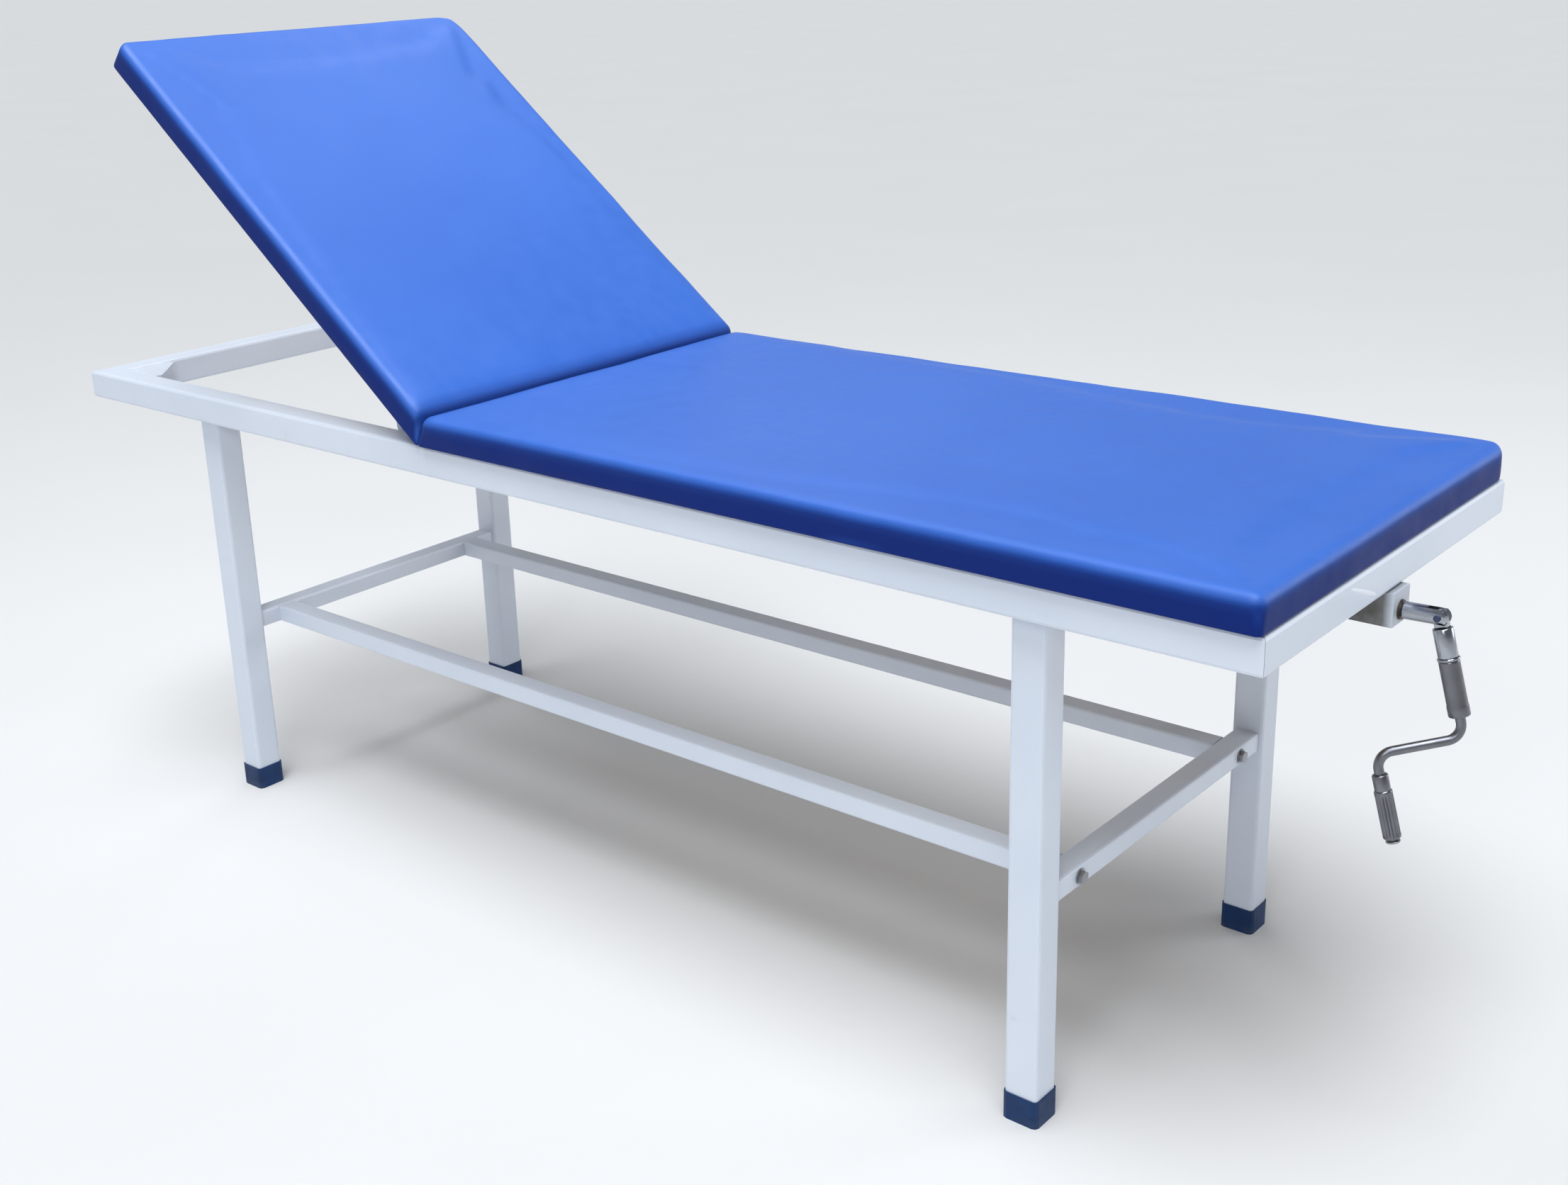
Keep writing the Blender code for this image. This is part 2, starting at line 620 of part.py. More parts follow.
def build_screw():
    shaft_in = BRACKET_OUT_X + 0.0035
    journal = (SHAFT_X - shaft_in) / math.cos(SCREW_SLOPE)
    length = SCREW_END - journal - GAP
    screw = add_object("lead_screw", rod_mesh(SCREW_R, length, chamfer=0.001), STEEL, ROOT)
    smooth(place(screw, along_screw(SCREW_END), SCREW_AXIS))
    collar = add_object("thrust_collar", ring_mesh(0.0125, SCREW_R + GAP, 0.010), STEEL, ROOT)
    smooth(place(collar, along_screw(0.0570), SCREW_AXIS))
    return journal


def build_bracket():
    low = (BRACKET_IN_X, -BRACKET_HALF_Y, RAIL_BOTTOM - GAP - BRACKET_DEPTH)
    high = (BRACKET_OUT_X, BRACKET_HALF_Y, RAIL_BOTTOM - GAP)
    bracket = add_object("crank_bracket", box_mesh(low, high), COAT, ROOT)
    plate = BRACKET_PLATE
    hollow_low = (BRACKET_IN_X - 0.01, -BRACKET_HALF_Y + plate, low[2] - 0.01)
    hollow_high = (BRACKET_OUT_X - plate, BRACKET_HALF_Y - plate, high[2] - 0.003)
    cut(bracket, box_mesh(hollow_low, hollow_high), "crank_bracket_hollow")
    cut(bracket, rod_mesh(0.0106, 0.03), "crank_bracket_bore", along_screw(0.055), SCREW_AXIS)
    bush = add_object("screw_bush", ring_mesh(0.0103, SCREW_R + GAP, 0.0085), BRONZE, ROOT)
    smooth(place(bush, along_screw(0.0460), SCREW_AXIS))


# ---------------------------------------------------------------- crank, drawn hanging
def build_shaft(journal):
    """The round shaft end, slotted for the crank's tongue and domed about the fold pin."""
    dome = 0.0105
    start = math.asin(SHAFT_R / dome)
    arc = [start * (1 - i / 5) for i in range(6)]
    profile = [(dome * math.sin(angle), dome * math.cos(angle)) for angle in reversed(arc)]
    profile += [(SHAFT_R, -journal + 0.001), (SHAFT_R - 0.001, -journal), (0.0, -journal)]
    shaft = add_object("crank_shaft", turned_mesh(profile), CHROME, ROOT)
    smooth(place(shaft, SHAFT_PIN, SCREW_AXIS))
    half = TONGUE_HALF + GAP
    cut(shaft, box_mesh((-0.02, -half, -0.0115), (0.02, half, 0.02)), "crank_shaft_slot")
    cut(shaft, rod_mesh(0.0030 + GAP, 0.04, 16), "crank_shaft_eye", (0.0, -0.02, 0.0), (0.0, 1.0, 0.0))
    pin = add_object("fold_pin", rod_mesh(0.0030, 0.0192, 16), STEEL, ROOT)
    smooth(place(pin, SHAFT_PIN + Vector((0.0, -0.0096, 0.0)), (0.0, 1.0, 0.0)))


def along_sleeve(distance):
    return SHAFT_PIN + distance * SLEEVE_AXIS


def build_sleeves():
    half = TONGUE_HALF
    eye = 0.0030 + GAP
    reach = RING_AT - 0.0062
    tongue_outline = hull_of_circles([(0.0, 0.0, 0.0072), (0.0, reach, 0.0050)])
    mesh = plate_mesh([tongue_outline, circle(eye, count=16)], 2 * half)
    tongue = add_object("crank_tongue", mesh, CHROME, ROOT)
    mesh.transform(Matrix.Rotation(math.pi / 2, 4, "X"))
    smooth(place(tongue, SHAFT_PIN, SLEEVE_AXIS))

    bore = 0.0080
    upper = [(SLEEVE_UPPER_R, RING_AT - GAP), (SLEEVE_UPPER_R, SLEEVE_START + 0.001),
             (SLEEVE_UPPER_R - 0.001, SLEEVE_START), (bore, SLEEVE_START), (bore, RING_AT - GAP)]
    smooth(place(add_object("crank_sleeve_upper", turned_mesh(upper), CHROME, ROOT), SHAFT_PIN, SLEEVE_AXIS))
    ring_top = RING_AT + RING_LENGTH
    ring = [(0.0, ring_top), (0.0104, ring_top), (0.0112, ring_top - 0.0008),
            (0.0112, RING_AT + 0.0008), (0.0104, RING_AT), (0.0, RING_AT)]
    smooth(place(add_object("crank_ring", turned_mesh(ring), CHROME, ROOT), SHAFT_PIN, SLEEVE_AXIS))
    inner = ROD_R + GAP
    lower = [(SLEEVE_LOWER_R, SLEEVE_END), (SLEEVE_LOWER_R, SLEEVE_END - 0.012),
             (SLEEVE_LOWER_R - 0.0004, ring_top + GAP), (inner, ring_top + GAP), (inner, SLEEVE_END)]
    smooth(place(add_object("crank_sleeve_lower", turned_mesh(lower), CHROME, ROOT), SHAFT_PIN, SLEEVE_AXIS))


def bent_path():
    """The Z-shaped rod: down the sleeve, along the arm, down through the grip."""
    elbows = [(ELBOW, SLEEVE_AXIS, ARM_AXIS), (HANDLE_TOP, ARM_AXIS, SLEEVE_AXIS)]
    points = [along_sleeve(ROD_START)]
    for corner, incoming, outgoing in elbows:
        start = corner - ELBOW_R * incoming
        centre = start + ELBOW_R * outgoing
        for i in range(7):
            angle = math.pi / 2 * i / 6
            points.append(centre - ELBOW_R * math.cos(angle) * outgoing
                          + ELBOW_R * math.sin(angle) * incoming)
    points.append(HANDLE_TOP + (GRIP_END + 0.0022) * SLEEVE_AXIS)
    return points


def build_rod_and_grip():
    curve = bpy.data.curves.new("rod", "CURVE")
    curve.dimensions = "3D"
    curve.bevel_depth = ROD_R
    curve.bevel_resolution = 3
    curve.use_fill_caps = True
    points = bent_path()
    spline = curve.splines.new("POLY")
    spline.points.add(len(points) - 1)
    for point, co in zip(spline.points, points):
        point.co = (*(co - SHAFT_PIN), 1.0)
    carrier = bpy.data.objects.new("rod", curve)
    bpy.context.scene.collection.objects.link(carrier)
    rod = add_object("crank_rod", mesh_of_curve(carrier), CHROME, ROOT)
    smooth(place(rod, SHAFT_PIN))

    bore = ROD_R + GAP
    grip = [(GRIP_R - 0.0012, GRIP_END), (GRIP_R, GRIP_END - 0.0015),
            (GRIP_R, GRIP_START + GRIP_COLLAR + 0.001), (GRIP_COLLAR_R, GRIP_START + GRIP_COLLAR),
            (GRIP_COLLAR_R, GRIP_START + 0.001), (GRIP_COLLAR_R - 0.001, GRIP_START),
            (bore, GRIP_START), (bore, GRIP_END)]
    smooth(place(add_object("crank_grip", turned_mesh(grip), CHROME, ROOT), HANDLE_TOP, SLEEVE_AXIS))
    button = rod_mesh(0.0072, 0.003, 16, 0.0008)
    at = HANDLE_TOP + (GRIP_END + 0.0025) * SLEEVE_AXIS
    smooth(place(add_object("grip_button", button, CHROME, ROOT), at, SLEEVE_AXIS))


# ---------------------------------------------------------------- assembly
def overall_middle():
    """Middle of the couch's overall length, from the head rail to the crank's outermost point."""
    sleeve_tip = along_sleeve(SLEEVE_END).x + SLEEVE_LOWER_R * math.cos(CRANK_HANG)
    elbow_tip = ELBOW.x - ELBOW_R * SLEEVE_AXIS.x + ROD_R
    return (max(sleeve_tip, elbow_tip) - HALF_L) / 2


ROOT = empty("couch_frame", (-overall_middle(), 0.0, 0.0))
BACK = empty("backrest_hinge", (PIVOT_X, 0.0, PIVOT_Z), ROOT)
BACK.rotation_euler = (0.0, BACK_ANGLE, 0.0)

build_frame()
build_gussets()
build_slats()
build_legs()
build_cross_stretchers()
build_long_stretchers()
build_bolts()
build_seat()
build_backrest()
build_hinge_pins()
build_push_tube()
build_bracket()
build_shaft(build_screw())
build_sleeves()
build_rod_and_grip()
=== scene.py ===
"""Looks of the examination couch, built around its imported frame."""

import json
import math

import bmesh
import bpy
from mathutils import Matrix, Vector, noise


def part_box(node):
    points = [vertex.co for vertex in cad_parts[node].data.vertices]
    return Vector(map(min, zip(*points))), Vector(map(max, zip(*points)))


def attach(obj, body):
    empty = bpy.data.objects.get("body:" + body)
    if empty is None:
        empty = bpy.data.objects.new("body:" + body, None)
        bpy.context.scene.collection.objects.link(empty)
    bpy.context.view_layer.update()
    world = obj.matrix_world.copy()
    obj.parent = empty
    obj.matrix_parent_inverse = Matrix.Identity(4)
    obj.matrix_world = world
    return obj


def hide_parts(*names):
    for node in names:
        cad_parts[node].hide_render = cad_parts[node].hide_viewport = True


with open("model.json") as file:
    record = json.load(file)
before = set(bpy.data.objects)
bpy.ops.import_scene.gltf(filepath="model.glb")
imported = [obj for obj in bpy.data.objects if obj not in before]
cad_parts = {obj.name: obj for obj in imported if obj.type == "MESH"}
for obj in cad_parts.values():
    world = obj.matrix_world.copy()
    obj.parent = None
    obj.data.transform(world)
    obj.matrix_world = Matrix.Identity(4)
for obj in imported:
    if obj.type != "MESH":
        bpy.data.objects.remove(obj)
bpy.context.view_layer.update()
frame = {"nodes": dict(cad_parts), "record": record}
RECORD_JOINTS = {j["name"]: j for j in frame["record"]["behaviour"]["joints"]}

# ---------------------------------------------------------------- places taken from the frame
HINGE = Vector(RECORD_JOINTS["backrest_tilt"]["pos_m"])
BACK_ANGLE = -math.radians(RECORD_JOINTS["backrest_tilt"]["range_deg"][0])
FOLD_PIN = Vector(RECORD_JOINTS["crank_turn"]["pos_m"])
SCREW_AXIS = Vector(RECORD_JOINTS["crank_turn"]["axis"]).normalized()
GRIP_TOP = Vector(RECORD_JOINTS["grip_spin"]["pos_m"])
SLEEVE_AXIS = Vector(RECORD_JOINTS["grip_spin"]["axis"]).normalized()
BACK_POSE = Matrix.Translation(HINGE) @ Matrix.Rotation(BACK_ANGLE, 4, "Y")
RAIL_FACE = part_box("side_rail_near")[1][0]      # outer face of the foot rail, in x
RAIL_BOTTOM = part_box("side_rail_near")[0][2]

# ---------------------------------------------------------------- sizes of the visible pieces
PAD_GRID = 0.011                # spacing of the cover's mesh before it is refined
PAD_SWELL_SIDE = 0.0014         # furthest the filled cover may move on the pad's sides
PAD_SWELL_TOP = 0.0042          # furthest it may move on the pad's face
LEAN_REACH = 0.045              # how far the crease end's lean runs into the pad
BOARD_INSET = 0.008             # how far the boards stay inside the upper edges of the pads
CREASE_PRESS = 0.003            # how much the seat presses the back's lower end in
VALLEY_REACH = 0.016            # width of the painted shade along each side of the crease
EDGE_TIGHT = 0.003              # edge radius of a pad at its underside
EDGE_ROWS = 4                   # rows of faces across each rounded edge of a pad
CLOTH_STEPS = 20
COVER_PRESSURE = 4.0
HELD_BAND = 0.0015              # height of the cover's lowest band, which doesn't swell
WAVE_REACH = 0.060              # how far in from the pad's edge its cover is least even
PANEL_THICK = 0.0004
PANEL_GAP = 0.0001              # between the cover and the bare part of the board
COVER_MARGIN = 0.030            # vinyl folded under the board
MARGIN_WANDER = 0.0025          # unevenness of the folded margin's edge
MARGIN_STEPS = 40               # points along each long side of that edge
STAPLE_SPACING = 0.045
STAPLE_INSET = 0.009            # from the folded margin's edge to the staples
STAPLE_END = 0.040              # from a pad's corner to its first staple
STAPLE_HALF = 0.005
STAPLE_WIRE_R = 0.0003
BEAD_RIPPLE = 0.0032            # spacing of the ripples in a weld bead
LEG_BEAD_R = 0.0020
STRETCHER_BEAD_R = 0.0017
BRACKET_BEAD_R = 0.0016
FRAME_BEAD_R = 0.0014
BACK_BEAD_R = 0.0013
GROUND_HEIGHT = 0.22            # what is left of a ground weld's height
LEVER_HALF = 0.0036             # beads on both faces of the lever, from the middle of the couch
ROD_R = 0.0051
ROD_BEND = 0.016                # radius of the rod's bends
GRIP_BORE = 0.0054              # the rod turns in it
GRIP_R = 0.0091
FLUTE_COUNT = 14
FLUTE_DEPTH = 0.0011
FLUTE_RUN_OUT = 0.002           # length over which a flute fades at its ends
RIB_ROWS = 24                   # rows of faces along the fluted part of the grip
SCREW_R = 0.0080
JOURNAL = 0.040                 # plain end of the screw
THREAD_PITCH = 0.004            # from one ridge to the next
THREAD_STARTS = 2               # so one turn moves the nut by 8 mm
THREAD_DEPTH = 0.0016
THREAD_ROWS = 8                 # rows of faces per ridge

# ---------------------------------------------------------------- camera, floor and light
CAMERA_PLACE = Vector((1.55835, -1.73933, 1.23529))
CAMERA_RIGHT = Vector((0.75596, 0.65366, -0.03547))
CAMERA_UP = Vector((-0.18126, 0.26109, 0.94814))
FOCAL_MM = 42.672
SENSOR_MM = 36.0
SHIFT = (0.03786, -0.03175)
FLOOR_HALF = 90.0               # far enough to reach the horizon from any side
FLOOR_TONES = ((0.72, 0.712, 0.705), (0.75, 0.742, 0.735))
HORIZON = (0.70, 0.71, 0.73)
ZENITH = (0.17, 0.175, 0.18)
FADE = (0.07, 0.34)             # heights of view where the horizon's tone ends and the zenith's begins
COOL = (0.91, 0.955, 1.0)
SUN_FROM = (0.12, -0.24, 0.94)
SUN_STRENGTH = 2.7
SUN_SPREAD = math.radians(40.0)
# name, place, target, size in metres, power in watts
AREA_LIGHTS = (("overhead", (-0.75, -0.45, 2.75), (-0.35, -0.1, 0.7), (2.0, 1.0), 13.0),
               ("key", (1.6, -2.9, 2.5), (0.1, -0.3, 0.6), (1.2, 1.0), 30.0),
               ("sheen", (-1.25, 1.35, 2.65), (-0.75, 0.0, 1.08), (0.9, 0.9), 7.0),
               ("behind", (2.7, 2.5, 1.35), (0.2, 0.0, 0.25), (1.6, 1.0), 22.0))


# ---------------------------------------------------------------- node helpers
class Nodes:
    """A material's node tree, with a short way to add and link nodes."""

    def __init__(self, name, colour, roughness, metallic=0.0):
        self.mat = bpy.data.materials.new(name)
        self.mat.use_nodes = True
        self.tree = self.mat.node_tree
        self.shader = self.tree.nodes["Principled BSDF"]
        self.shader.inputs["Base Color"].default_value = (*colour, 1.0)
        self.shader.inputs["Roughness"].default_value = roughness
        self.shader.inputs["Metallic"].default_value = metallic
        self.mat.diffuse_color = (*colour, 1.0)
        self.coords = self.tree.nodes.new("ShaderNodeTexCoord").outputs["Object"]

    def add(self, kind, inputs=(), **settings):
        node = self.tree.nodes.new(kind)
        for key, value in settings.items():
            setattr(node, key, value)
        for key, value in dict(inputs).items():
            if isinstance(value, bpy.types.NodeSocket):
                self.tree.links.new(value, node.inputs[key])
            else:
                node.inputs[key].default_value = value
        return node

    def stretched(self, scale):
        node = self.add("ShaderNodeMapping", {"Vector": self.coords, "Scale": scale})
        return node.outputs["Vector"]

    def noise(self, scale, detail=2.0, roughness=0.5, vector=None):
        node = self.add("ShaderNodeTexNoise", {"Vector": vector or self.coords, "Scale": scale,
                                               "Detail": detail, "Roughness": roughness})
        return node.outputs["Fac"]

    def cell_edges(self, scale):
        node = self.add("ShaderNodeTexVoronoi", {"Vector": self.coords, "Scale": scale},
                        feature="DISTANCE_TO_EDGE")
        return node.outputs["Distance"]

    def place(self, axis):
        return self.add("ShaderNodeSeparateXYZ", {"Vector": self.coords}).outputs[axis]

    def remap(self, value, low, high, to_low, to_high):
        node = self.add("ShaderNodeMapRange", {"Value": value, "From Min": low, "From Max": high,
                                               "To Min": to_low, "To Max": to_high})
        return node.outputs["Result"]

    def math(self, operation, a, b):
        return self.add("ShaderNodeMath", {0: a, 1: b}, operation=operation).outputs[0]

    def mix(self, factor, a, b):
        node = self.add("ShaderNodeMix", data_type="RGBA")
        for index, value in ((0, factor), (6, a), (7, b)):
            if isinstance(value, bpy.types.NodeSocket):
                self.tree.links.new(value, node.inputs[index])
            elif index == 0:
                node.inputs[index].default_value = value
            else:
                node.inputs[index].default_value = (*value, 1.0)
        return node.outputs[2]

    def bump(self, layers):
        """Chain of bumps from (height, strength, distance) layers, onto the shader."""
        normal = None
        for height, strength, distance in layers:
            node = self.add("ShaderNodeBump", {"Height": height, "Strength": strength,
                                               "Distance": distance})
            if normal is not None:
                self.tree.links.new(normal, node.inputs["Normal"])
            normal = node.outputs["Normal"]
        self.tree.links.new(normal, self.shader.inputs["Normal"])

    def to(self, socket, value):
        self.tree.links.new(value, self.shader.inputs[socket])


def vinyl_material():
    """Vinyl-coated fabric, with painted shade where the mesh's painted shade value is high: a darker blue
    and a weaker reflection.
    """
    n = Nodes("blue_vinyl", (0.075, 0.215, 0.80), 0.46)
    cloud = n.noise(2.2, 3.0)
    fine = n.noise(38.0, 3.0)
    tone = n.mix(n.remap(cloud, 0.35, 0.65, 0.0, 1.0), (0.034, 0.138, 0.560), (0.042, 0.156, 0.605))
    tone = n.mix(n.remap(fine, 0.3, 0.7, 0.0, 0.10), tone, (0.075, 0.21, 0.70))
    # Painted shade: the pads' sides, darker lower down, and the valley at the crease turn a deep blue.
    painted_shade = n.add("ShaderNodeAttribute", attribute_name="painted_shade").outputs["Fac"]
    n.to("Base Color", n.mix(painted_shade, tone, (0.004, 0.020, 0.160)))
    n.to("Roughness", n.remap(fine, 0.3, 0.7, 0.42, 0.52))
    grain = n.cell_edges(760.0)
    n.bump([(n.noise(9.0, 2.0), 0.25, 0.004), (n.noise(240.0, 2.0), 0.12, 0.0004),
            (n.remap(grain, 0.0, 0.12, 0.0, 1.0), 0.20, 0.0002)])
    # The painted shade also weakens the reflection there.
    n.to("Specular IOR Level", n.remap(painted_shade, 0.0, 0.7, 0.50, 0.08))
    n.shader.inputs["Sheen Weight"].default_value = 0.03
    n.shader.inputs["Sheen Roughness"].default_value = 0.5
    n.shader.inputs["Sheen Tint"].default_value = (0.55, 0.70, 1.0, 1.0)
    return n.mat


def coat_material():
    """Powder coat with an orange-peel surface, and more scuffs near the floor."""
    n = Nodes("white_powder_coat", (0.74, 0.79, 0.87), 0.34)
    cloud = n.noise(4.0, 3.0)
    speck = n.noise(310.0, 2.0)
    scuff = n.noise(26.0, 6.0, 0.7)
    height = n.place("Z")
    low_down = n.remap(height, 0.05, 0.32, 1.0, 0.25)
    tone = n.mix(n.remap(cloud, 0.35, 0.65, 0.0, 1.0), (0.640, 0.695, 0.79), (0.690, 0.74, 0.83))
    tone = n.mix(n.remap(speck, 0.3, 0.7, 0.0, 0.06), tone, (0.60, 0.64, 0.72))
    marks = n.math("MULTIPLY", n.remap(scuff, 0.62, 0.72, 0.0, 0.35), low_down)
    n.to("Base Color", n.mix(marks, tone, (0.52, 0.53, 0.56)))
    n.to("Roughness", n.math("ADD", n.remap(cloud, 0.3, 0.7, 0.28, 0.38),
                             n.math("MULTIPLY", marks, 0.5)))
    n.bump([(n.noise(6.0, 1.0), 0.08, 0.002), (speck, 0.16, 0.0003)])
    return n.mat


def bracket_material():
    """The same coat, with a painted shadow of the rail where the bracket runs back under it."""
    n = Nodes("bracket_coat", (0.55, 0.58, 0.64), 0.4)
    along = n.place("X")
    # Painted shadow: dark under the rail, fading out just past its outer face, mottled.
    under = n.remap(along, RAIL_FACE - 0.004, RAIL_FACE + 0.010, 1.0, 0.0)
    painted_shadow = n.math("MULTIPLY", under, n.remap(n.noise(60.0, 3.0), 0.3, 0.65, 0.86, 1.0))
    tone = n.mix(n.noise(45.0, 3.0), (0.60, 0.65, 0.74), (0.68, 0.73, 0.82))
    n.to("Base Color", n.mix(painted_shadow, tone, (0.085, 0.080, 0.070)))
    n.to("Roughness", n.remap(painted_shadow, 0.0, 1.0, 0.36, 0.58))
    n.bump([(n.noise(310.0, 2.0), 0.16, 0.0003)])
    return n.mat


def weld_material():
    n = Nodes("coated_weld", (0.74, 0.79, 0.87), 0.36)
    speck = n.noise(420.0, 3.0)
    n.to("Base Color", n.mix(n.remap(speck, 0.35, 0.7, 0.0, 1.0), (0.72, 0.76, 0.83), (0.60, 0.63, 0.70)))
    n.to("Roughness", n.remap(speck, 0.3, 0.7, 0.3, 0.45))
    n.bump([(speck, 0.35, 0.0005)])
    return n.mat


def plated_material(name, colour, roughness, streak):
    """Plated steel with faint streaks along its length, handling marks and cloudy reflections."""
    n = Nodes(name, colour, roughness, 1.0)
    cloud = n.noise(38.0, 4.0)
    lines = n.noise(60.0, 3.0, 0.6, n.stretched(streak))
    dark = tuple(c * 0.80 for c in colour)
    n.to("Base Color", n.mix(n.remap(cloud, 0.35, 0.7, 0.0, 1.0), colour, dark))
    n.to("Roughness", n.math("ADD", n.remap(cloud, 0.3, 0.7, roughness - 0.05, roughness + 0.07),
                             n.remap(lines, 0.4, 0.7, 0.0, 0.06)))
    n.bump([(lines, 0.12, 0.0003)])
    return n.mat


def cap_material():
    """Moulded plastic of the foot caps, dusty at the floor."""
    n = Nodes("navy_plastic", (0.006, 0.045, 0.17), 0.42)
    cloud = n.noise(45.0, 3.0)
    tone = n.mix(n.remap(cloud, 0.35, 0.7, 0.0, 1.0), (0.004, 0.034, 0.125), (0.006, 0.025, 0.085))
    height = n.place("Z")
    dust = n.math("MULTIPLY", n.remap(height, 0.0, 0.012, 0.5, 0.0), n.remap(cloud, 0.4, 0.7, 0.0, 1.0))
    n.to("Base Color", n.mix(dust, tone, (0.08, 0.10, 0.14)))
    n.shader.inputs["Specular IOR Level"].default_value = 0.25
    n.to("Roughness", n.remap(cloud, 0.3, 0.7, 0.36, 0.52))
    n.bump([(n.noise(520.0, 2.0), 0.20, 0.0003)])
    return n.mat


def plain_material(name, colour, roughness, metallic=0.0, shade=0.75):
    """Small machined and moulded parts: mottled colour, fine tooling marks."""
    n = Nodes(name, colour, roughness, metallic)
    cloud = n.noise(70.0, 4.0)
    dark = tuple(c * shade for c in colour)
    n.to("Base Color", n.mix(n.remap(cloud, 0.35, 0.7, 0.0, 1.0), colour, dark))
    n.to("Roughness", n.remap(cloud, 0.3, 0.7, roughness - 0.05, roughness + 0.08))
    n.bump([(n.noise(600.0, 2.0), 0.2, 0.0003)])
    return n.mat


def plywood_material():
    """Plywood with its grain along the couch."""
    n = Nodes("plywood", (0.55, 0.38, 0.22), 0.7)
    along = n.stretched((3.0, 42.0, 42.0))
    rings = n.noise(2.0, 6.0, 0.62, along)
    pores = n.noise(55.0, 3.0, 0.6, along)
    tone = n.mix(n.remap(rings, 0.35, 0.65, 0.0, 1.0), (0.60, 0.43, 0.26), (0.44, 0.29, 0.15))
    n.to("Base Color", n.mix(n.remap(pores, 0.52, 0.72, 0.0, 0.5), tone, (0.27, 0.17, 0.09)))
    n.to("Roughness", n.remap(rings, 0.3, 0.7, 0.62, 0.80))
    n.bump([(pores, 0.3, 0.0005), (rings, 0.15, 0.0008)])
    return n.mat


VINYL = vinyl_material()
COAT = coat_material()
BRACKET_COAT = bracket_material()
WELD = weld_material()
PALE_WELD = plain_material("ground_weld", (0.84, 0.88, 0.95), 0.30, shade=0.95)
# Both chromes are darker than bare plating, a painted dark reflection of the surroundings; the dull one is
# darker still, and its higher roughness is its own duller finish.
CHROME = plated_material("bright_chrome", (0.40, 0.42, 0.46), 0.20, (1.0, 1.0, 12.0))
DULL_CHROME_PAINTED_DARK = plated_material("dull_chrome_painted_dark", (0.21, 0.215, 0.235), 0.30, (1.0, 1.0, 12.0))
ZINC = plated_material("zinc_steel", (0.34, 0.345, 0.37), 0.36, (0.4, 12.0, 12.0))
CAP = cap_material()
NYLON = plain_material("nylon", (0.76, 0.76, 0.72), 0.5)
BRONZE = plain_material("bronze", (0.58, 0.40, 0.19), 0.38, 1.0)
DARK_BRONZE = plain_material("dark_bronze", (0.13, 0.10, 0.075), 0.45, 1.0)
PLYWOOD = plywood_material()
STAPLE = plain_material("staple_wire", (0.50, 0.50, 0.52), 0.35, 1.0)
PIN_DARK = plain_material("dark_pin", (0.05, 0.06, 0.12), 0.35, 0.6)
SLOT_LOOKS = {"white_powder_coat": COAT, "blue_vinyl": VINYL, "plywood": PLYWOOD,
              "navy_plastic": CAP, "chrome": CHROME, "zinc_steel": ZINC, "nylon": NYLON,
              "bronze": BRONZE}
SINGLE_LOOKS = {"crank_bracket": BRACKET_COAT, "screw_bush": DARK_BRONZE}


# ---------------------------------------------------------------- piece helpers
def new_piece(name, mesh, mat, body, stands_for=(), smooth=40.0, pose=None):
    """One visible piece on its body. Edges sharper than smooth, in degrees, stay sharp."""
    obj = bpy.data.objects.new(name, mesh)
    bpy.context.scene.collection.objects.link(obj)
    mesh.materials.clear()
    mesh.materials.append(mat)
    if pose is not None:
        obj.matrix_world = pose
        bpy.context.view_layer.update()
    if smooth:
        mesh.shade_smooth()
        mesh.set_sharp_from_angle(angle=math.radians(smooth))
    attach(obj, body)
    if stands_for:
        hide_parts(*stands_for)
    return obj


def mesh_from(name, verts, faces):
    mesh = bpy.data.meshes.new(name)
    mesh.from_pydata([tuple(v) for v in verts], [], faces)
    bm = bmesh.new()
    bm.from_mesh(mesh)
    bmesh.ops.recalc_face_normals(bm, faces=bm.faces)
    bm.to_mesh(mesh)
    bm.free()
    return mesh


def join_meshes(name, meshes):
    """One mesh from several separate ones."""
    bm = bmesh.new()
    for mesh in meshes:
        bm.from_mesh(mesh)
    whole = bpy.data.meshes.new(name)
    bm.to_mesh(whole)
    bm.free()
    for mesh in meshes:
        bpy.data.meshes.remove(mesh)
    return whole


def ring_faces(rows, steps, looped=False):
    """Faces between rings of points, with a flat face at both ends unless the rows form a loop."""
    faces = []
    for i in range(rows if looped else rows - 1):
        after = (i + 1) % rows
        for k in range(steps):
            j = (k + 1) % steps
            faces.append((i * steps + k, i * steps + j, after * steps + j, after * steps + k))
    if not looped:
        faces.append(tuple(range(steps)))
        faces.append(tuple((rows - 1) * steps + k for k in range(steps)))
    return faces


def turned(name, profile, steps=48, looped=False, flutes=None):
    """Turn (radius, height) points about local Z. Flutes gives a groove depth by height."""
    verts = []
    for radius, height in profile:
        for k in range(steps):
            angle = 2 * math.pi * k / steps
            r = radius
            if flutes is not None:
                r -= flutes(height) * (0.5 + 0.5 * math.cos(angle * FLUTE_COUNT)) ** 2
            verts.append((r * math.cos(angle), r * math.sin(angle), height))
    return mesh_from(name, verts, ring_faces(len(profile), steps, looped))


def sweep(name, points, radii, steps=12):
    """A round tube along points, with a radius at each, and closed ends."""
    verts = []
    side = None
    for i, point in enumerate(points):
        before = points[max(i - 1, 0)]
        after = points[min(i + 1, len(points) - 1)]
        along = (after - before).normalized()
        if side is None:
            side = along.orthogonal().normalized()
        side = (side - along * side.dot(along)).normalized()
        other = along.cross(side)
        for k in range(steps):
            angle = 2 * math.pi * k / steps
            verts.append(point + radii[i] * (math.cos(angle) * side + math.sin(angle) * other))
    return mesh_from(name, verts, ring_faces(len(points), steps))


